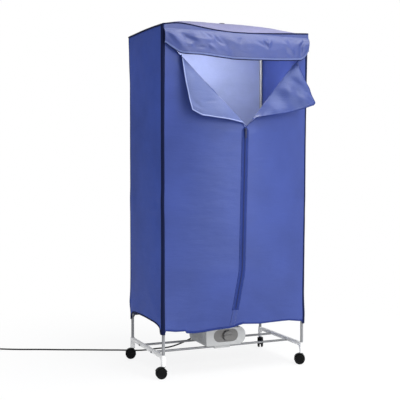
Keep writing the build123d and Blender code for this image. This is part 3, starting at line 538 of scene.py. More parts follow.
def bow(side, z):
    """Where the cloth leaves the post, and the bow between: its reach, rise and angle at the post."""
    half, depth = (POST_X, POST_Y) if side in LONG_WALLS else (POST_Y, POST_X)
    rise = {"front": at(BULGE, z), "back": BACK_SHARE * at(BULGE, z)}.get(side, SIDE_BULGE)
    angle = 0.0
    for _ in range(5):
        reach = half + WRAP * math.sin(angle)
        high = rise + WRAP * (1 - math.cos(angle))
        angle = math.atan(2 * high / reach)
    return half, depth, reach, depth + WRAP * math.cos(angle), high, angle


FRONT_RIGHT_PULL = softened(
    [0.19, 0.22, 0.265, 0.31, 0.38, 0.56, 0.78, 0.96, 1.11, 1.26, 1.33, 1.4, 1.467],
    [0, 0.003, 0, -0.0016, -0.0016, 0, 0.0034, 0.0034, 0.0053, 0.008, 0.009, 0.011, 0.013], 0.012)
REAR_LEFT_PULL = softened(
    [0.22, 0.24, 0.265, 0.31, 0.38, 0.66, 0.695, 0.745, 0.78, 1.1, 1.26, 1.37, 1.467],
    [0.0016, -0.002, -0.0038, 0, 0.0018, 0.0018, 0.0004, 0.0004, 0.0018, 0.0018, 0.0018, -0.002, -0.0038],
    0.012)
FRONT_LEFT_PULL = softened(
    [0.3, 0.5, 0.66, 0.695, 0.745, 0.78, 1.467], [0, 0.0018, 0.0018, 0.0004, 0.0004, 0.0018, 0.0018], 0.012)
CORNER_PULLS = ((POST_X, -POST_Y, FRONT_RIGHT_PULL), (-POST_X, POST_Y, REAR_LEFT_PULL),
                (-POST_X, -POST_Y, FRONT_LEFT_PULL))
PULL_WIDTH = 0.06


def pull(x, y, z):
    """How far the sewn corners stand to the right of their posts, as the cloth there is pulled or slack."""
    return sum(at(line, z) * bump(math.hypot(x - cx, y - cy), PULL_WIDTH) for cx, cy, line in CORNER_PULLS)


def to_world(side, along, out):
    places = {"front": (along, -out), "right": (out, along), "back": (-along, out), "left": (-out, -along)}
    return places[side]


def on_wall(side, along, z, out=0.0):
    """Point and normal on a wall's free span, by its place along the wall."""
    _, _, reach, start, high, _ = bow(side, z)
    share = along / reach
    slope = -2 * high * share / reach
    away = start + high * (1 - share * share) + unevenness(side, along, z)
    norm = math.hypot(slope, 1)
    nx, ny = -slope / norm, 1 / norm
    x, y = to_world(side, along + nx * out, away + ny * out)
    ox, oy = to_world(side, nx, ny)
    return Vector((x + pull(x, y, z), y, z)), Vector((ox, oy, 0))


def round_post(side, turn, z, out=0.0):
    """Point and normal where the cloth wraps a post. turn runs from 0 at the seam to 1 where the cloth leaves
    the post, and is negative at the wall's left post, seen from outside."""
    half, depth, _, _, _, angle = bow(side, z)
    end = 1 if turn >= 0 else -1
    a = math.pi / 4 + (math.pi / 4 - angle) * abs(turn)
    u, w = math.cos(a), math.sin(a)
    x, y = to_world(side, end * (half + (WRAP + out) * u), depth + (WRAP + out) * w)
    ox, oy = to_world(side, end * u, w)
    return Vector((x + pull(x, y, z), y, z)), Vector((ox, oy, 0))


POST_COLS = 5


def wall_grid(side, hem, top, rows=110, cols=44, low=None, high=None):
    """A wall's points, its rows from the hem's line up to the top's. low and high may follow the height."""
    grid = []
    width = cols + 1 + POST_COLS * ((low is None) + (high is None))
    for r in range(rows + 1):
        share = r / rows
        levels = [hem(0) + (top(0) - hem(0)) * share] * width
        for _ in range(3):
            spots = [column_point(side, c, z, cols, low, high) for c, z in enumerate(levels)]
            levels = [hem(along) + (top(along) - hem(along)) * share for _, along in spots]
        grid.append([column_point(side, c, z, cols, low, high)[0] for c, z in enumerate(levels)])
    return grid


def column_point(side, c, z, cols, low, high):
    """One column's point at a height, and its place along the wall."""
    half, _, reach, *_ = bow(side, z)
    first = POST_COLS if low is None else 0
    start = -reach if low is None else low(z)
    end = reach if high is None else high(z)
    if c < first:
        turn = -c / POST_COLS
        place = round_post(side, turn if c else -1e-9, z)[0]
        return place, -half - WRAP * 0.7 * (1 - c / POST_COLS)
    if c <= first + cols:
        along = start + (end - start) * (c - first) / cols
        return on_wall(side, along, z)[0], along
    k = c - first - cols
    return round_post(side, 1 - k / POST_COLS, z)[0], half + WRAP * 0.7 * k / POST_COLS


def trim_z(side, along):
    """The height of the piping over a wall."""
    if side == "front":
        return at(FRONT_TRIM, along)
    if side == "back":
        return TRIM_SIDE - TRIM_SAG * max(0.0, 1 - (along / POST_X) ** 2)
    low = FRONT_CORNERS[0] if side == "left" else FRONT_CORNERS[1]
    front = (along if side == "left" else -along) / POST_Y
    return TRIM_SIDE + (low - TRIM_SIDE) * min(1.0, max(0.0, (front + 1) / 2)) ** 1.5


def fold_z(x):
    """The height of the doors' fold lines, which run from the V up to the corners."""
    end_x, end_z = FOLD_TOPS[0] if x < V_POINT[0] else FOLD_TOPS[1]
    return V_POINT[1] + (x - V_POINT[0]) * (end_z - V_POINT[1]) / (end_x - V_POINT[0])


def side_hem(along):
    """The foot of a side wall: level at its ears, with an arch between them."""
    past = abs(along) - SIDE_EAR
    if past > EAR_STEP:
        return HEM
    share = along / SIDE_EAR
    arch = ARCH_TOP - ARCH_FALL[0] * share**2 - ARCH_FALL[1] * share**10
    return HEM + (arch - HEM) * (EAR_STEP - past) / EAR_STEP if past > 0 else arch


def back_hem(along):
    return HEM + BACK_RISE * min(1.0, max(0.0, (BACK_EAR - abs(along)) / EAR_STEP))


def front_hem(x):
    return at(FRONT_HEM, x)


# Cover panels


def make_wall(name, node, side, hem, looks=("blue_cloth", "lining_cloth"), top=None, **spans):
    grid = wall_grid(side, hem, top or (lambda along: trim_z(side, along)), **spans)
    return settle(sheet_piece(name, grid, *looks), "dryer", "blue_cloth", node)


# Painted shade on both faces of the side walls: the duller side copy of the blue cloth outside, and the blue
# cloth inside in place of the pale lining
SIDE_PAINTED_SHADE_LOOKS = ("side_cloth_painted_shade", "blue_cloth")
left_panel = make_wall("left_side_cloth", "left_panel", "left", side_hem, SIDE_PAINTED_SHADE_LOOKS)
right_panel = make_wall("right_side_cloth", "right_panel", "right", side_hem, SIDE_PAINTED_SHADE_LOOKS)
back_panel = make_wall("back_cloth", "back_panel", "back", back_hem, cols=64)
left_door = make_wall("left_door_cloth", "left_door", "front", front_hem, top=fold_z, cols=50,
                      high=lambda z: at(ZIP_X, z) - DOOR_GAP)
right_door = make_wall("right_door_cloth", "right_door", "front", front_hem, top=fold_z, cols=50,
                       low=lambda z: at(ZIP_X, z) + DOOR_GAP)


def dome_z(x, y):
    """The top's height, crowned between the front, rear and side trims."""
    forward = min(1.0, max(-1.0, -y / (POST_Y + WRAP)))
    edge = trim_z("front", x) if y < 0 else trim_z("back", x)
    side = trim_z("left", forward * POST_Y) if x < 0 else trim_z("right", -forward * POST_Y)
    across = min(abs(x) / (POST_X + WRAP), 1.0)
    top = DOME_TOP + (side + 0.0016 - DOME_TOP) * across**4
    return edge + (top - edge) * (1 - abs(forward) ** 2.8)


def crowd(n, count):
    """A share from -1 to 1 over a count of steps, with its lines crowded to the ends."""
    share = -1 + 2 * n / count
    return math.copysign(1 - (1 - abs(share)) ** 1.15, share)


def top_points(cols=72, rows=46):
    """The top, crowned between its trims, with soft puckers along them."""
    grid = []
    for r in range(rows + 1):
        v = crowd(r, rows)
        line = []
        for c in range(cols + 1):
            u = crowd(c, cols)
            x = u * (POST_X + WRAP + SIDE_BULGE * (1 - v * v))
            y = v * (POST_Y + WRAP + (0.003 if v < 0 else 0.0012) * (1 - u * u))
            dx, dy = abs(x) - POST_X, abs(y) - POST_Y
            if dx > 0 and dy > 0:
                round_in = min(1.0, max(dx, dy) / math.hypot(dx, dy))
                x = math.copysign(POST_X + dx * round_in, x)
                y = math.copysign(POST_Y + dy * round_in, y)
            inner = (1 - u**8) * (1 - v**8)
            edge = math.exp(-((1 - abs(v)) / 0.16)) * (1 - u**8)
            z = dome_z(x, y)
            z += inner * 0.0022 * rough(x * 9, y * 9, 3.0)
            z += inner * 0.001 * rough(x * 30, y * 22, 8.0)
            z += inner * edge * 0.0022 * math.sin(x * 95 + 3 * rough(x * 12, v, 2.0))
            line.append(Vector((x + pull(x, y, TRIM_SIDE), y, z)))
        grid.append(line)
    return grid


top_panel = sheet_piece("top_cloth_sheet", top_points(), "top_cloth", "top_cloth")
settle(top_panel, "dryer", "top_cloth", "top_panel")


# Piping and bindings

PIPING = 0.0036
PIPING_SIDES = 10


def piping_spots(cols=40):
    """Places and normals round the top of the four walls."""
    spots = []
    for side in WALLS:
        half = POST_X if side in LONG_WALLS else POST_Y
        start, end = trim_z(side, -half), trim_z(side, half)
        reach = bow(side, end)[2]
        spots += [round_post(side, -n / 4 - 1e-9, start) for n in range(1, 4)]
        for n in range(cols + 1):
            along = -reach + 2 * reach * n / cols
            spots.append(on_wall(side, along, trim_z(side, along)))
        spots += [round_post(side, 1 - n / 4, end) for n in range(1, 5)]
    return spots


angles = [2 * math.pi * n / PIPING_SIDES for n in range(PIPING_SIDES)]
piping = [(PIPING * math.cos(a), PIPING * math.sin(a)) for a in angles]
settle(band("top_piping", piping_spots(), piping, "binding_cloth", closed=True), "dryer", "zip_tape")

BINDING_REACH = {"front": 0.0042, "back": 0.0042, "left": 0.0006, "right": 0.0006}
BINDING_EDGE = ((1.0, 0.3), (0.85, 1.0), (0.3, 1.0))
BINDING_STAND = 0.0013
BINDING_ROUGH = 0.0006
SEAM_TOP = 1.46


def corner_binding(corner, first, second):
    """The tape over an upright seam at a post, a little proud of the cloth and wider on the long walls."""
    rows = []
    top = min(trim_z(first, bow(first, SEAM_TOP)[2]), trim_z(second, -bow(second, SEAM_TOP)[2])) - 0.002
    for n in range(81):
        z = HEM + (top - HEM) * n / 80
        stand = BINDING_STAND + BINDING_ROUGH * rough(z * 14, 3.3, 1.0)
        start, end = bow(first, z)[2], -bow(second, z)[2]
        line = [on_wall(first, start - BINDING_REACH[first] * k, z, stand * e)[0] for k, e in BINDING_EDGE]
        line += [round_post(first, t, z, stand)[0] for t in (0.8, 0.5, 0.2, 0.0)]
        line += [round_post(second, -t, z, stand)[0] for t in (0.2, 0.5, 0.8)]
        line += [on_wall(second, end + BINDING_REACH[second] * k, z, stand * e)[0]
                 for k, e in BINDING_EDGE[::-1]]
        rows.append(line)
    piece = sheet_piece(f"{corner}_binding", rows, "binding_cloth", "binding_cloth", 0.0008)
    settle(piece, "dryer", "zip_tape")


for seam in SEAMS:
    corner_binding(*seam)


def hem_binding(name, side, hem, low, high, steps, half=0.003):
    """The folded edge at the foot of a wall, on both faces of the cloth."""
    spots = []
    for n in range(steps + 1):
        along = low + (high - low) * n / steps
        place, normal = on_wall(side, along, hem(along) + half - 0.0008)
        spots.append((place - normal * CLOTH / 2, normal))
    look = "navy_tape" if side == "front" else "binding_cloth"
    settle(band(name, spots, folded_profile(half, 0.0016, 0.0005), look), "dryer", "zip_tape")


EAR_LOW = 0.184
EAR_RISE = 0.02
EAR_LAP = 0.004
EAR_STAND = 0.0018


def ear(corner, first, second):
    """The dark doubled corner at the foot of a seam."""
    rows = []
    for n in range(9):
        z = EAR_LOW + EAR_RISE * n / 8
        start, end = bow(first, z)[2] - EAR_LAP, -bow(second, z)[2]
        line = [on_wall(first, start + EAR_LAP * k / 3, z, EAR_STAND)[0] for k in range(3)]
        line += [round_post(first, 1 - k / 4, z, EAR_STAND)[0] for k in range(5)]
        line += [round_post(second, -k / 4 - 1e-9, z, EAR_STAND)[0] for k in range(1, 5)]
        line += [on_wall(second, end + EAR_LAP * k / 3, z, EAR_STAND)[0] for k in range(1, 4)]
        rows.append(line)
    settle(sheet_piece(f"{corner}_ear", rows, "binding_cloth", "binding_cloth", 0.0034), "dryer", "zip_tape")


# Between these turns, over the heater, the front hem is wider: partly the cloth's collar there, partly
# painted shade under the hem
HEM_TURNS = (-0.229, 0.036)
hem_binding("left_hem", "left", side_hem, -POST_Y, POST_Y, 120)
hem_binding("right_hem", "right", side_hem, -POST_Y, POST_Y, 120)
hem_binding("back_hem", "back", back_hem, -POST_X, POST_X, 160)
hem_binding("front_hem_left", "front", front_hem, -POST_X, HEM_TURNS[0], 60)
hem_binding("front_hem_middle", "front", front_hem, *HEM_TURNS, 110, half=0.0052)
hem_binding("front_hem_right", "front", front_hem, HEM_TURNS[1], POST_X, 120)
for seam in SEAMS:
    ear(*seam)


# Zip

# Shares of the tape's half width, each with its lift off the cloth, from the middle out
TAPE_HALF = 0.016
TAPE_LIFTS = ((0.0, 0.0002), (0.15, 0.0002), (0.42, 0.0002), (0.6, 0.001), (0.96, 0.0011), (1.0, 0.0004))


def zip_place(offset, z, out):
    return on_wall("front", at(ZIP_X, z) + offset, z, out)


def zip_spots(offset, start, end, steps, out):
    """Places and normals up a line beside the zip."""
    return [zip_place(offset, start + (end - start) * n / steps, out) for n in range(steps + 1)]


def zip_tape(rows=120):
    """The tape over the doors' edges, flat under the slider, narrower at its top end."""
    lifts = [(-k, lift) for k, lift in TAPE_LIFTS[:0:-1]] + list(TAPE_LIFTS)
    grid = []
    for r in range(rows + 1):
        z = ZIP_END + (ZIP_TOP + 0.004 - ZIP_END) * r / rows
        pinch = 1.0 if z < ZIP_TOP - 0.01 else 1 - 0.75 * (z - ZIP_TOP + 0.01) / 0.014
        grid.append([zip_place(k * TAPE_HALF * pinch, z, lift)[0] for k, lift in lifts])
    return grid


tape = sheet_piece("zip_tape_sheet", zip_tape(), "navy_tape", "navy_tape", 0.0005)
settle(tape, "dryer", "zip_tape", "zip_chain")

TOOTH_PITCH = 0.0032
TOOTH_OFFSET = 0.0007
TOOTH_SIZE = (0.0019, 0.0011, 0.0017)
TOOTH_FACES = ((0, 3, 2, 1), (4, 5, 6, 7), (0, 1, 5, 4), (1, 2, 6, 5), (2, 3, 7, 6), (3, 0, 4, 7))
TOOTH_POINTS = ((-1, -1, 0), (1, -1, 0), (1, 1, 0), (-1, 1, 0),
                (-0.8, -0.6, 1), (0.8, -0.6, 1), (0.8, 0.6, 1), (-0.8, 0.6, 1))


def zip_teeth():
    """The chain: teeth from both tapes that mesh down the middle."""
    verts, faces = [], []
    wide, high, proud = TOOTH_SIZE
    for n in range(int((ZIP_TOP - 0.014 - ZIP_END) / TOOTH_PITCH)):
        offset = TOOTH_OFFSET if n % 2 else -TOOTH_OFFSET
        place, normal = zip_place(offset, ZIP_END + 0.004 + n * TOOTH_PITCH, TAPE_LIFTS[0][1])
        side = Vector((0, 0, 1)).cross(normal)
        faces += [tuple(len(verts) + i for i in f) for f in TOOTH_FACES]
        verts += [place + side * a * wide + Vector((0, 0, b * high)) + normal * c * proud
                  for a, b, c in TOOTH_POINTS]
    return link("zip_teeth", verts, faces, ["zip_enamel"], smooth=False)


settle(zip_teeth(), "dryer", "zip_metal")
THREAD_OFFSET = 0.0135
lines = [zip_spots(offset, ZIP_END + 0.004, ZIP_TOP - 0.008, 150, 0.0012)
         for offset in (-THREAD_OFFSET, THREAD_OFFSET)]
settle(stitches("tape_threads", lines, "thread_blue"), "dryer", "zip_tape")


SEAM_HALF = 0.0125
SEAM_LIFTS = ((-1, 0.0003), (-0.93, 0.0013), (0, 0.0015), (0.93, 0.0013), (1, 0.0003))
SEAM_THREADS = (-0.0105, -0.0065, 0.0065, 0.0105)
BAR_HALF = 0.0165


def lower_seam(rows=30):
    """Below the zip: the doors' edges lapped and sewn down to the hem with a double row."""
    hem = front_hem(-0.02)
    low, high = hem + 0.008, ZIP_END + 0.004
    grid = []
    for r in range(rows + 1):
        z = low + (high - low) * r / rows
        grid.append([zip_place(k * SEAM_HALF, z, lift)[0] for k, lift in SEAM_LIFTS])
    settle(sheet_piece("lower_seam_cloth", grid, "blue_cloth", "blue_cloth", 0.0008), "dryer", "blue_cloth")
    lines = [zip_spots(offset, hem + 0.01, ZIP_END - 0.002, 40, 0.0015) for offset in SEAM_THREADS]
    # The pale colour of these real stitches is a painted highlight.
    settle(stitches("seam_threads", lines, "pale_painted_highlight", radius=0.0005), "dryer", "blue_cloth")
    bar = [zip_place(BAR_HALF * (n / 4 - 1), ZIP_END + 0.002, 0.0014) for n in range(9)]
    settle(band("zip_end_bar", bar, flat_profile(0.007, 0.0012), "navy_tape"), "dryer", "zip_tape")


lower_seam()


# Valance

# Along the valance: its free edge's height, and how far it stands out
VALANCE_ROWS = [
    (-0.337, 1.389, 0.024), (-0.322, 1.383, 0.026), (-0.303, 1.368, 0.03), (-0.286, 1.356, 0.036),
    (-0.272, 1.347, 0.042), (-0.256, 1.343, 0.046), (-0.233, 1.342, 0.05), (-0.183, 1.342, 0.052),
    (-0.135, 1.338, 0.055), (-0.082, 1.333, 0.058), (-0.037, 1.33, 0.056), (0.055, 1.3304, 0.06),
    (0.145, 1.334, 0.055), (0.238, 1.3396, 0.049), (0.301, 1.344, 0.042), (0.3225, 1.356, 0.038),
    (0.336, 1.37, 0.036), (0.349, 1.39, 0.034),
]
VALANCE_LEFT = -0.331
VALANCE_SPAN = 0.681
VALANCE_COLS = 240
VALANCE_SPLIT = 0.18
VALANCE_TRIM_STAND = 0.0018
VALANCE_LIP_STAND = 0.0038
VALANCE_TUCK = 0.012
VALANCE_BELLY = 0.009
VALANCE_CREASING = 1.3
VALANCE_LOW = softened([r[0] for r in VALANCE_ROWS], [r[1] for r in VALANCE_ROWS], 0.004)
VALANCE_OUT = softened([r[0] for r in VALANCE_ROWS], [r[2] for r in VALANCE_ROWS], 0.012)
VALANCE_CREASES = creases(
    (-320, 1445, -240, 1360, 14, 5), (-280, 1450, -200, 1375, 10, -4), (-310, 1425, -280, 1390, 9, 3),
    (190, 1446, 270, 1360, 14, 3.6), (-50, 1446, -20, 1372, 20, 3.5), (-100, 1440, -60, 1380, 10, -2.2),
    (20, 1440, 0, 1395, 10, -2.4), (-178, 1452, -171, 1430, 5, -3.6), (-162, 1443, -131, 1419, 6, -4.2),
    (-117, 1441, -106, 1409, 6, -3.6), (-106, 1411, -82, 1392, 6, -3.4), (-322, 1461, -297, 1436, 8, -4),
    (-310, 1459, -262, 1431, 8, 4.4), (-240, 1373, -216, 1386, 7, 3.6), (-206, 1408, -144, 1404, 9, 3.4),
    (-190, 1373.6, -163, 1374, 6, -3.4), (-250, 1420, -190, 1395, 9, -3.6), (-230, 1440, -185, 1425, 9, 4),
    (-145, 1385, -110, 1362, 8, 3), (119, 1424, 131, 1389, 6, -4), (132, 1428, 139, 1412, 5, -2.6),
    (153, 1428, 134, 1389, 7, 3.4), (244, 1451, 251, 1431, 6, -3.2), (327, 1444, 300, 1400, 7, -4.2),
    (306, 1405, 299, 1366, 7, -3.6), (291, 1416, 333, 1440, 8, 3.4), (95, 1411, 118, 1395, 6, -2.8),
)


def valance_point(x, share):
    """From the piping (0) down the lip to the hinge line (the split) and on to the free edge (1)."""
    inside = min(max(x, -POST_X), POST_X)
    lip = on_wall("front", inside, LIP, VALANCE_LIP_STAND)[0]
    lip.x = x
    if share <= VALANCE_SPLIT:
        trim = on_wall("front", inside, trim_z("front", inside), VALANCE_TRIM_STAND)[0]
        trim.x = x
        return trim.lerp(lip, share / VALANCE_SPLIT)
    t = (share - VALANCE_SPLIT) / (1 - VALANCE_SPLIT)
    tuck = VALANCE_TUCK * min(1.0, max(0.0, (x - 0.25) / 0.1))
    low = Vector((x - tuck, -POST_Y - at(VALANCE_OUT, x), at(VALANCE_LOW, x)))
    place = lip.lerp(low, t)
    belly = VALANCE_BELLY * math.sin(math.pi * t**0.75)
    folds = VALANCE_CREASING * sum(crease(x, place.z, *c) for c in VALANCE_CREASES)
    folds += 0.0036 * rough(x * 11, place.z * 8, 4.0)
    folds += 0.0016 * rough(x * 38, place.z * 34, 6.0)
    return place + Vector((0, -1, 0.15)) * (belly + folds * min(1.0, t * 3))


def valance_x(c):
    return VALANCE_LEFT + VALANCE_SPAN * c / VALANCE_COLS


def valance_cloth(rows=40):
    return [[valance_point(valance_x(c), 1 - r / rows) for c in range(VALANCE_COLS + 1)]
            for r in range(rows + 1)]


def valance_spots(share, out):
    """Places and normals along the valance, at a share of its way down."""
    spots = []
    for c in range(VALANCE_COLS + 1):
        x = valance_x(c)
        here = valance_point(x, share)
        step = 0.01 if share < 0.99 else -0.01
        down = (valance_point(x, share + step) - here) * math.copysign(1, step)
        ahead = valance_point(x + 0.002, share) - here
        normal = ahead.cross(-down).normalized()
        spots.append((here + normal * out, normal))
    return spots


valance = apply_modifiers(sheet_piece("valance_cloth", valance_cloth(), "valance_blue_painted_shade", "lining_cloth"))
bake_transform(valance)
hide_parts("valance")
threads = stitches("valance_threads", [valance_spots(0.925, 0.0002)], "binding_cloth", radius=0.0006)
settle(threads, "valance", "blue_cloth")
strip = band("valance_band", valance_spots(0.958, 0.0002), flat_profile(0.0075, 0.0007), "flap_cloth")
settle(strip, "valance", "blue_cloth")
hem = folded_profile(0.0018, 0.0012, 0.0004)
strip = band("valance_hem", valance_spots(0.996, -0.0005), hem, "binding_cloth")
settle(strip, "valance", "zip_tape")


# Lapels, the left one as -1 and the right one as 1

LAPELS = {
    -1: {
        # The left lapel's pale edge is a real fold with a painted highlight in its colour.
        "name": "left", "cloth": "flap_cloth", "hem": "pale_painted_highlight", "hem_half": 0.0022, "end_x": -0.258,
        "fold": ((-0.02, -0.287, 1.081), (-0.228, -0.229, 1.3057)),
        "edge": [
            (0.0, (0.004, -0.2905, 1.052)), (0.08, (-0.014, -0.3, 1.066)), (0.2, (-0.06, -0.31, 1.074)),
            (0.36, (-0.125, -0.313, 1.081)), (0.5, (-0.196, -0.307, 1.0915)), (0.6, (-0.238, -0.3, 1.112)),
            (0.66, (-0.247, -0.292, 1.142)), (0.78, (-0.2545, -0.276, 1.207)), (0.9, (-0.258, -0.257, 1.268)),
            (1.0, (-0.262, -0.24, 1.338)),
        ],
        "waves": [(0.3, 0.09, 0.004), (0.52, 0.08, -0.004), (0.74, 0.07, 0.004)],
        "creases": creases(
            (-190, 1143, -132, 1152, 5, -3), (-255, 1155, -232, 1120, 8, 4),
            (-240, 1150, -200, 1118, 8, -3.4), (-225, 1120, -190, 1105, 7, 2.8),
        ),
    },
    1: {
        "name": "right", "cloth": "flap_blue_painted_shade", "hem": "navy_tape", "hem_half": 0.0012, "end_x": 0.281,
        "fold": ((0.062, -0.279, 1.1075), (0.268, -0.2225, 1.3232)),
        "edge": [
            (0.0, (0.012, -0.2905, 1.053)), (0.1, (0.05, -0.306, 1.088)), (0.24, (0.104, -0.312, 1.097)),
            (0.42, (0.179, -0.313, 1.107)), (0.58, (0.285, -0.307, 1.134)), (0.65, (0.321, -0.303, 1.145)),
            (0.7, (0.331, -0.302, 1.156)), (0.82, (0.314, -0.288, 1.216)), (0.91, (0.303, -0.269, 1.25)),
            (0.96, (0.295, -0.243, 1.298)), (1.0, (0.292, -0.2245, 1.331)),
        ],
        "waves": [(0.36, 0.07, 0.005), (0.5, 0.06, -0.006), (0.62, 0.05, 0.009), (0.78, 0.05, -0.005)],
        "creases": creases(
            (218, 1255, 196, 1128, 20, 5.5), (256, 1240, 250, 1150, 18, -5), (290, 1190, 325, 1160, 10, 3),
        ),
    },
}


LAPEL_ROOT = 0.12
LAPEL_BELLY = 0.078
ROLL_DROP = 0.004
ROLL_RISE = Vector((0, 0, 0.0022))
ROLL_OUT = Vector((0, -0.0004, 0))
THREAD_SHARE = 0.93


def edge_place(table, share):
    keys = [k for k, _ in table]
    return Vector([float(np.interp(share, keys, [p[i] for _, p in table])) for i in range(3)])


def lapel_fold(side, share):
    """A point on the fold's crest, from the V to its upper end under the valance."""
    x = V_POINT[0] + (LAPELS[side]["end_x"] - V_POINT[0]) * share
    first, last = LAPELS[side]["fold"]
    place = Vector(first).lerp(Vector(last), (x - first[0]) / (last[0] - first[0]))
    if share < LAPEL_ROOT:
        place = on_wall("front", x, fold_z(x), CLOTH)[0].lerp(place, share / LAPEL_ROOT)
    return place


def lapel_point(side, share, t):
    """t below 0 is the roll over the door's edge; from 0 to 1 the cloth hangs from fold to free edge."""
    shape = LAPELS[side]
    crest = lapel_fold(side, share)
    if t < 0:
        turn = -t
        root = on_wall("front", crest.x, fold_z(crest.x) - ROLL_DROP, 0.0004)[0]
        return crest.lerp(root, turn) + ROLL_RISE * math.sin(math.pi * turn) + ROLL_OUT * (1 - turn)
    edge = edge_place(shape["edge"], share)
    place = crest.lerp(edge, t)
    span = (edge - crest).length
    belly = LAPEL_BELLY * span * 4 * t * (1 - t)
    folds = sum(h * bump(share - s, w) for s, w, h in shape["waves"]) * min(1.0, span / 0.08)
    folds += 0.003 * rough(place.x * 14, place.z * 10, 9.0 + side) * min(1.0, span / 0.06)
    folds += sum(crease(place.x, place.z, *c) for c in shape["creases"])
    return place + Vector((0, -1, 0.25)) * (belly + folds * math.sin(math.pi * min(1.0, 0.12 + t) * 0.62))


def lapel_cloth(side, cols=64, rows=26, roll=5):
    grid = []
    for r in range(rows + roll, -1, -1):
        t = (r - roll) / rows if r >= roll else -(roll - r) / roll
        line = [lapel_point(side, c / cols, t) for c in range(cols + 1)]
        grid.append(line if side > 0 else line[::-1])
    return grid


def make_lapel(side):
    shape = LAPELS[side]
    name, flap = f"{shape['name']}_lapel", f"{shape['name']}_flap"
    cloth = apply_modifiers(sheet_piece(f"{name}_cloth", lapel_cloth(side), shape["cloth"], "blue_cloth"))
    first, last = (Vector(p) for p in shape["fold"])
    axis = (last - first).normalized()
    out = Vector((0, -1, 0))
    out = (out - axis * out.dot(axis)).normalized()
    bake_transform(cloth)
    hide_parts(name)
    edge = []
    for n in range(121):
        share = 0.03 + 0.95 * n / 120
        here = lapel_point(side, share, 1.0)
        inner = lapel_point(side, share, THREAD_SHARE)
        ahead = lapel_point(side, min(1.0, share + 0.01), 1.0) - lapel_point(side, share - 0.01, 1.0)
        normal = ahead.cross(inner - here) * side
        normal = normal.normalized() if normal.length > 1e-9 else Vector((0, -1, 0))
        edge.append((here, normal if normal.y < 0 else -normal))
    strip = band(f"{name}_edge", edge, folded_profile(shape["hem_half"], 0.0009, 0.0003), shape["hem"])
    settle(strip, flap, "lining_cloth")
    line = [(lapel_point(side, 0.06 + 0.9 * n / 120, THREAD_SHARE), out) for n, (_, out) in enumerate(edge)]
    settle(stitches(f"{name}_threads", [line], "thread_blue", radius=0.0004), flap, "lining_cloth")
    return cloth


left_lapel = make_lapel(-1)
right_lapel = make_lapel(1)


# Floor cloth and vent

SLEEVE_CENTRE = Vector((-0.009, 0.005, 0))
SLEEVE_HALF = (0.062, 0.052)
FLOOR_HALF = (POST_X + 0.0075, POST_Y + 0.0075)
MOUTH_FLARE = 0.03

# The floor cloth's rings by their share of the way out and height, and the sleeve's by height and flare
FLOOR_RINGS = ((1.0, 0.2995), (0.75, 0.299), (0.5, 0.2985), (0.25, 0.299))
SLEEVE_RINGS = ((0.2995, MOUTH_FLARE), (0.29, 0.024), (0.255, 0.012), (0.222, 0.004), (0.205, 0.0016),
                (0.191, 0.0014))


def on_rectangle(ux, uy, half_x, half_y):
    """Where a ray from the middle of a rectangle leaves it."""
    far = min(half_x / abs(ux) if abs(ux) > 1e-9 else 9, half_y / abs(uy) if abs(uy) > 1e-9 else 9)
    return Vector((ux * far, uy * far, 0))


def floor_spot(ux, uy, share, z, flare):
    """A point of the floor cloth in a direction: in the share between the sleeve's mouth and the walls."""
    inner = SLEEVE_CENTRE + on_rectangle(ux, uy, SLEEVE_HALF[0] + flare, SLEEVE_HALF[1] + flare)
    outer = on_rectangle(ux, uy, *FLOOR_HALF)
    if abs(outer.y) >= POST_Y and abs(outer.x) < POST_X - 0.01:
        side, along = ("front", outer.x) if uy < 0 else ("back", -outer.x)
        outer.y = on_wall(side, along, FLOOR_CLOTH, -CLOTH)[0].y
    place = inner.lerp(outer, share)
    place.z = z + 0.0012 * rough(place.x * 12, place.y * 12, 5.0)
    return place


def floor_points(cols=80):
    """From the walls in to the sleeve's mouth and down round the heater's neck."""
    rings = [(share, z - 0.006 * math.sin(math.pi * share), MOUTH_FLARE) for share, z in FLOOR_RINGS]
    rings += [(0.0, z, flare) for z, flare in SLEEVE_RINGS]
    rows = []
    for share, z, flare in reversed(rings):
        angles = [2 * math.pi * (c + 0.5) / cols for c in range(cols)]
        line = [floor_spot(math.cos(a), math.sin(a), share, z, flare) for a in angles]
        rows.append(line + [line[0].copy()])
    return rows


floor = sheet_piece("floor_cloth_sheet", floor_points(), "lining_cloth", "blue_cloth")
settle(floor, "dryer", "blue_cloth", "floor_cloth")

VENT_Y = -0.06
VENT_SIDES = 40
VENT_PROFILE = ((0.0092, -0.003), (0.0128, -0.003), (0.0132, -0.0008), (0.0134, 0.001), (0.0122, 0.0026),
                (0.0104, 0.003), (0.0092, 0.002))


def vent_ring():
    """The eyelet in the top: a dark moulded ring with its washer below the cloth."""
    verts = []
    base = dome_z(0, VENT_Y)
    tilt = (dome_z(0, VENT_Y + 0.005) - dome_z(0, VENT_Y - 0.005)) / 0.01
    for s in range(VENT_SIDES):
        a = 2 * math.pi * s / VENT_SIDES
        for r, h in VENT_PROFILE:
            y = r * math.sin(a)
            verts.append((r * math.cos(a), VENT_Y + y, base + h + tilt * y))
    return link("vent_ring", verts, loft_faces(VENT_SIDES, len(VENT_PROFILE), True), ["black_plastic"])


settle(vent_ring(), "dryer", "black_plastic")


# Floor, light and background


def seen(nodes):
    """1 for rays from the camera or through something clear, and 0 for those that light the object."""
    path = nodes.add("ShaderNodeLightPath")
    return nodes.add("ShaderNodeMath", (path, "Is Camera Ray"), (path, "Is Transmission Ray"),
                     operation="ADD", use_clamp=True)


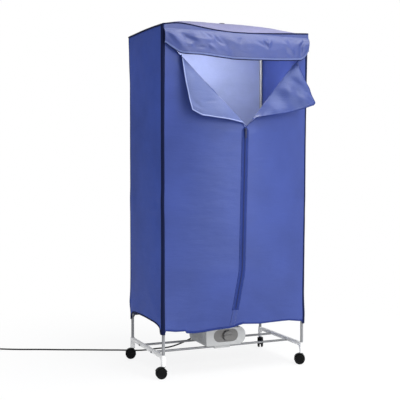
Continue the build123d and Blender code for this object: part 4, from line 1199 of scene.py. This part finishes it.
def white_stage(name):
    """White to the eye, and still shadowed near the object."""
    nodes = Nodes(bpy.data.materials.new(name))
    nodes.put(nodes.bsdf, Base_Color=(0.9, 0.9, 0.9, 1), Roughness=0.9)
    glow = nodes.add("ShaderNodeEmission", Color=(1, 1, 1, 1), Strength=1.0)
    place = nodes.add("ShaderNodeTexCoord")
    away = nodes.add("ShaderNodeVectorMath", (place, "Object"), operation="LENGTH")
    plain = nodes.add("ShaderNodeMapRange", From_Min=0.7, From_Max=1.7, To_Min=0.84, To_Max=1.0,
                      Value=(away, "Value"))
    share = nodes.add("ShaderNodeMath", (seen(nodes), "Value"), (plain, "Result"), operation="MULTIPLY")
    mix = nodes.add("ShaderNodeMixShader", (share, "Value"), (nodes.bsdf, "BSDF"), (glow, "Emission"))
    return nodes.finish(mix)


LOOKS["ground_white"] = white_stage("ground_white")
FAR = 14
corners = [(x, y, -0.0006) for x, y in ((-FAR, -FAR), (FAR, -FAR), (FAR, FAR), (-FAR, FAR))]
link("ground", corners, [(0, 1, 2, 3)], ["ground_white"], smooth=False)


def make_world():
    """A pale studio, brighter from the front right and above, and white behind the object."""
    world = bpy.data.worlds.new("studio")
    bpy.context.scene.world = world
    nodes = Nodes(world)
    heading = nodes.add("ShaderNodeTexCoord")
    toward = nodes.add("ShaderNodeVectorMath", (heading, "Generated"), (0.5, -0.62, 0.6),
                       operation="DOT_PRODUCT")
    level = nodes.add("ShaderNodeMapRange", From_Min=-1.0, From_Max=1.0, To_Min=0.3, To_Max=1.0,
                      Value=(toward, "Value"))
    light = nodes.put(nodes.tree.nodes["Background"], Color=(0.97, 0.98, 1.0, 1), Strength=(level, "Result"))
    white = nodes.add("ShaderNodeBackground", Color=(1, 1, 1, 1), Strength=1.0)
    mix = nodes.add("ShaderNodeMixShader", (seen(nodes), "Value"), (light, "Background"),
                    (white, "Background"))
    nodes.finish(mix, "World Output")


make_world()


def area_light(name, place, target, size, power):
    data = bpy.data.lights.new(name, "AREA")
    data.shape = "RECTANGLE"
    data.size, data.size_y = size
    data.energy = power
    lamp = bpy.data.objects.new(name, data)
    lamp.location = place
    lamp.rotation_euler = (Vector(target) - Vector(place)).to_track_quat("-Z", "Y").to_euler()
    bpy.context.scene.collection.objects.link(lamp)
    return lamp


area_light("key", (0.9, -3.2, 1.5), (0, 0, 0.8), (1.8, 2.6), 66)
area_light("above", (0.6, -0.9, 3.3), (0, -0.1, 1.4), (2.2, 1.6), 58)
inside = area_light("inside", (0, -0.08, 1.42), (0, 0.22, 1.0), (0.45, 0.14), 4)
inside.visible_camera = False

bpy.context.scene.view_settings.view_transform = "Standard"
bpy.context.view_layer.update()
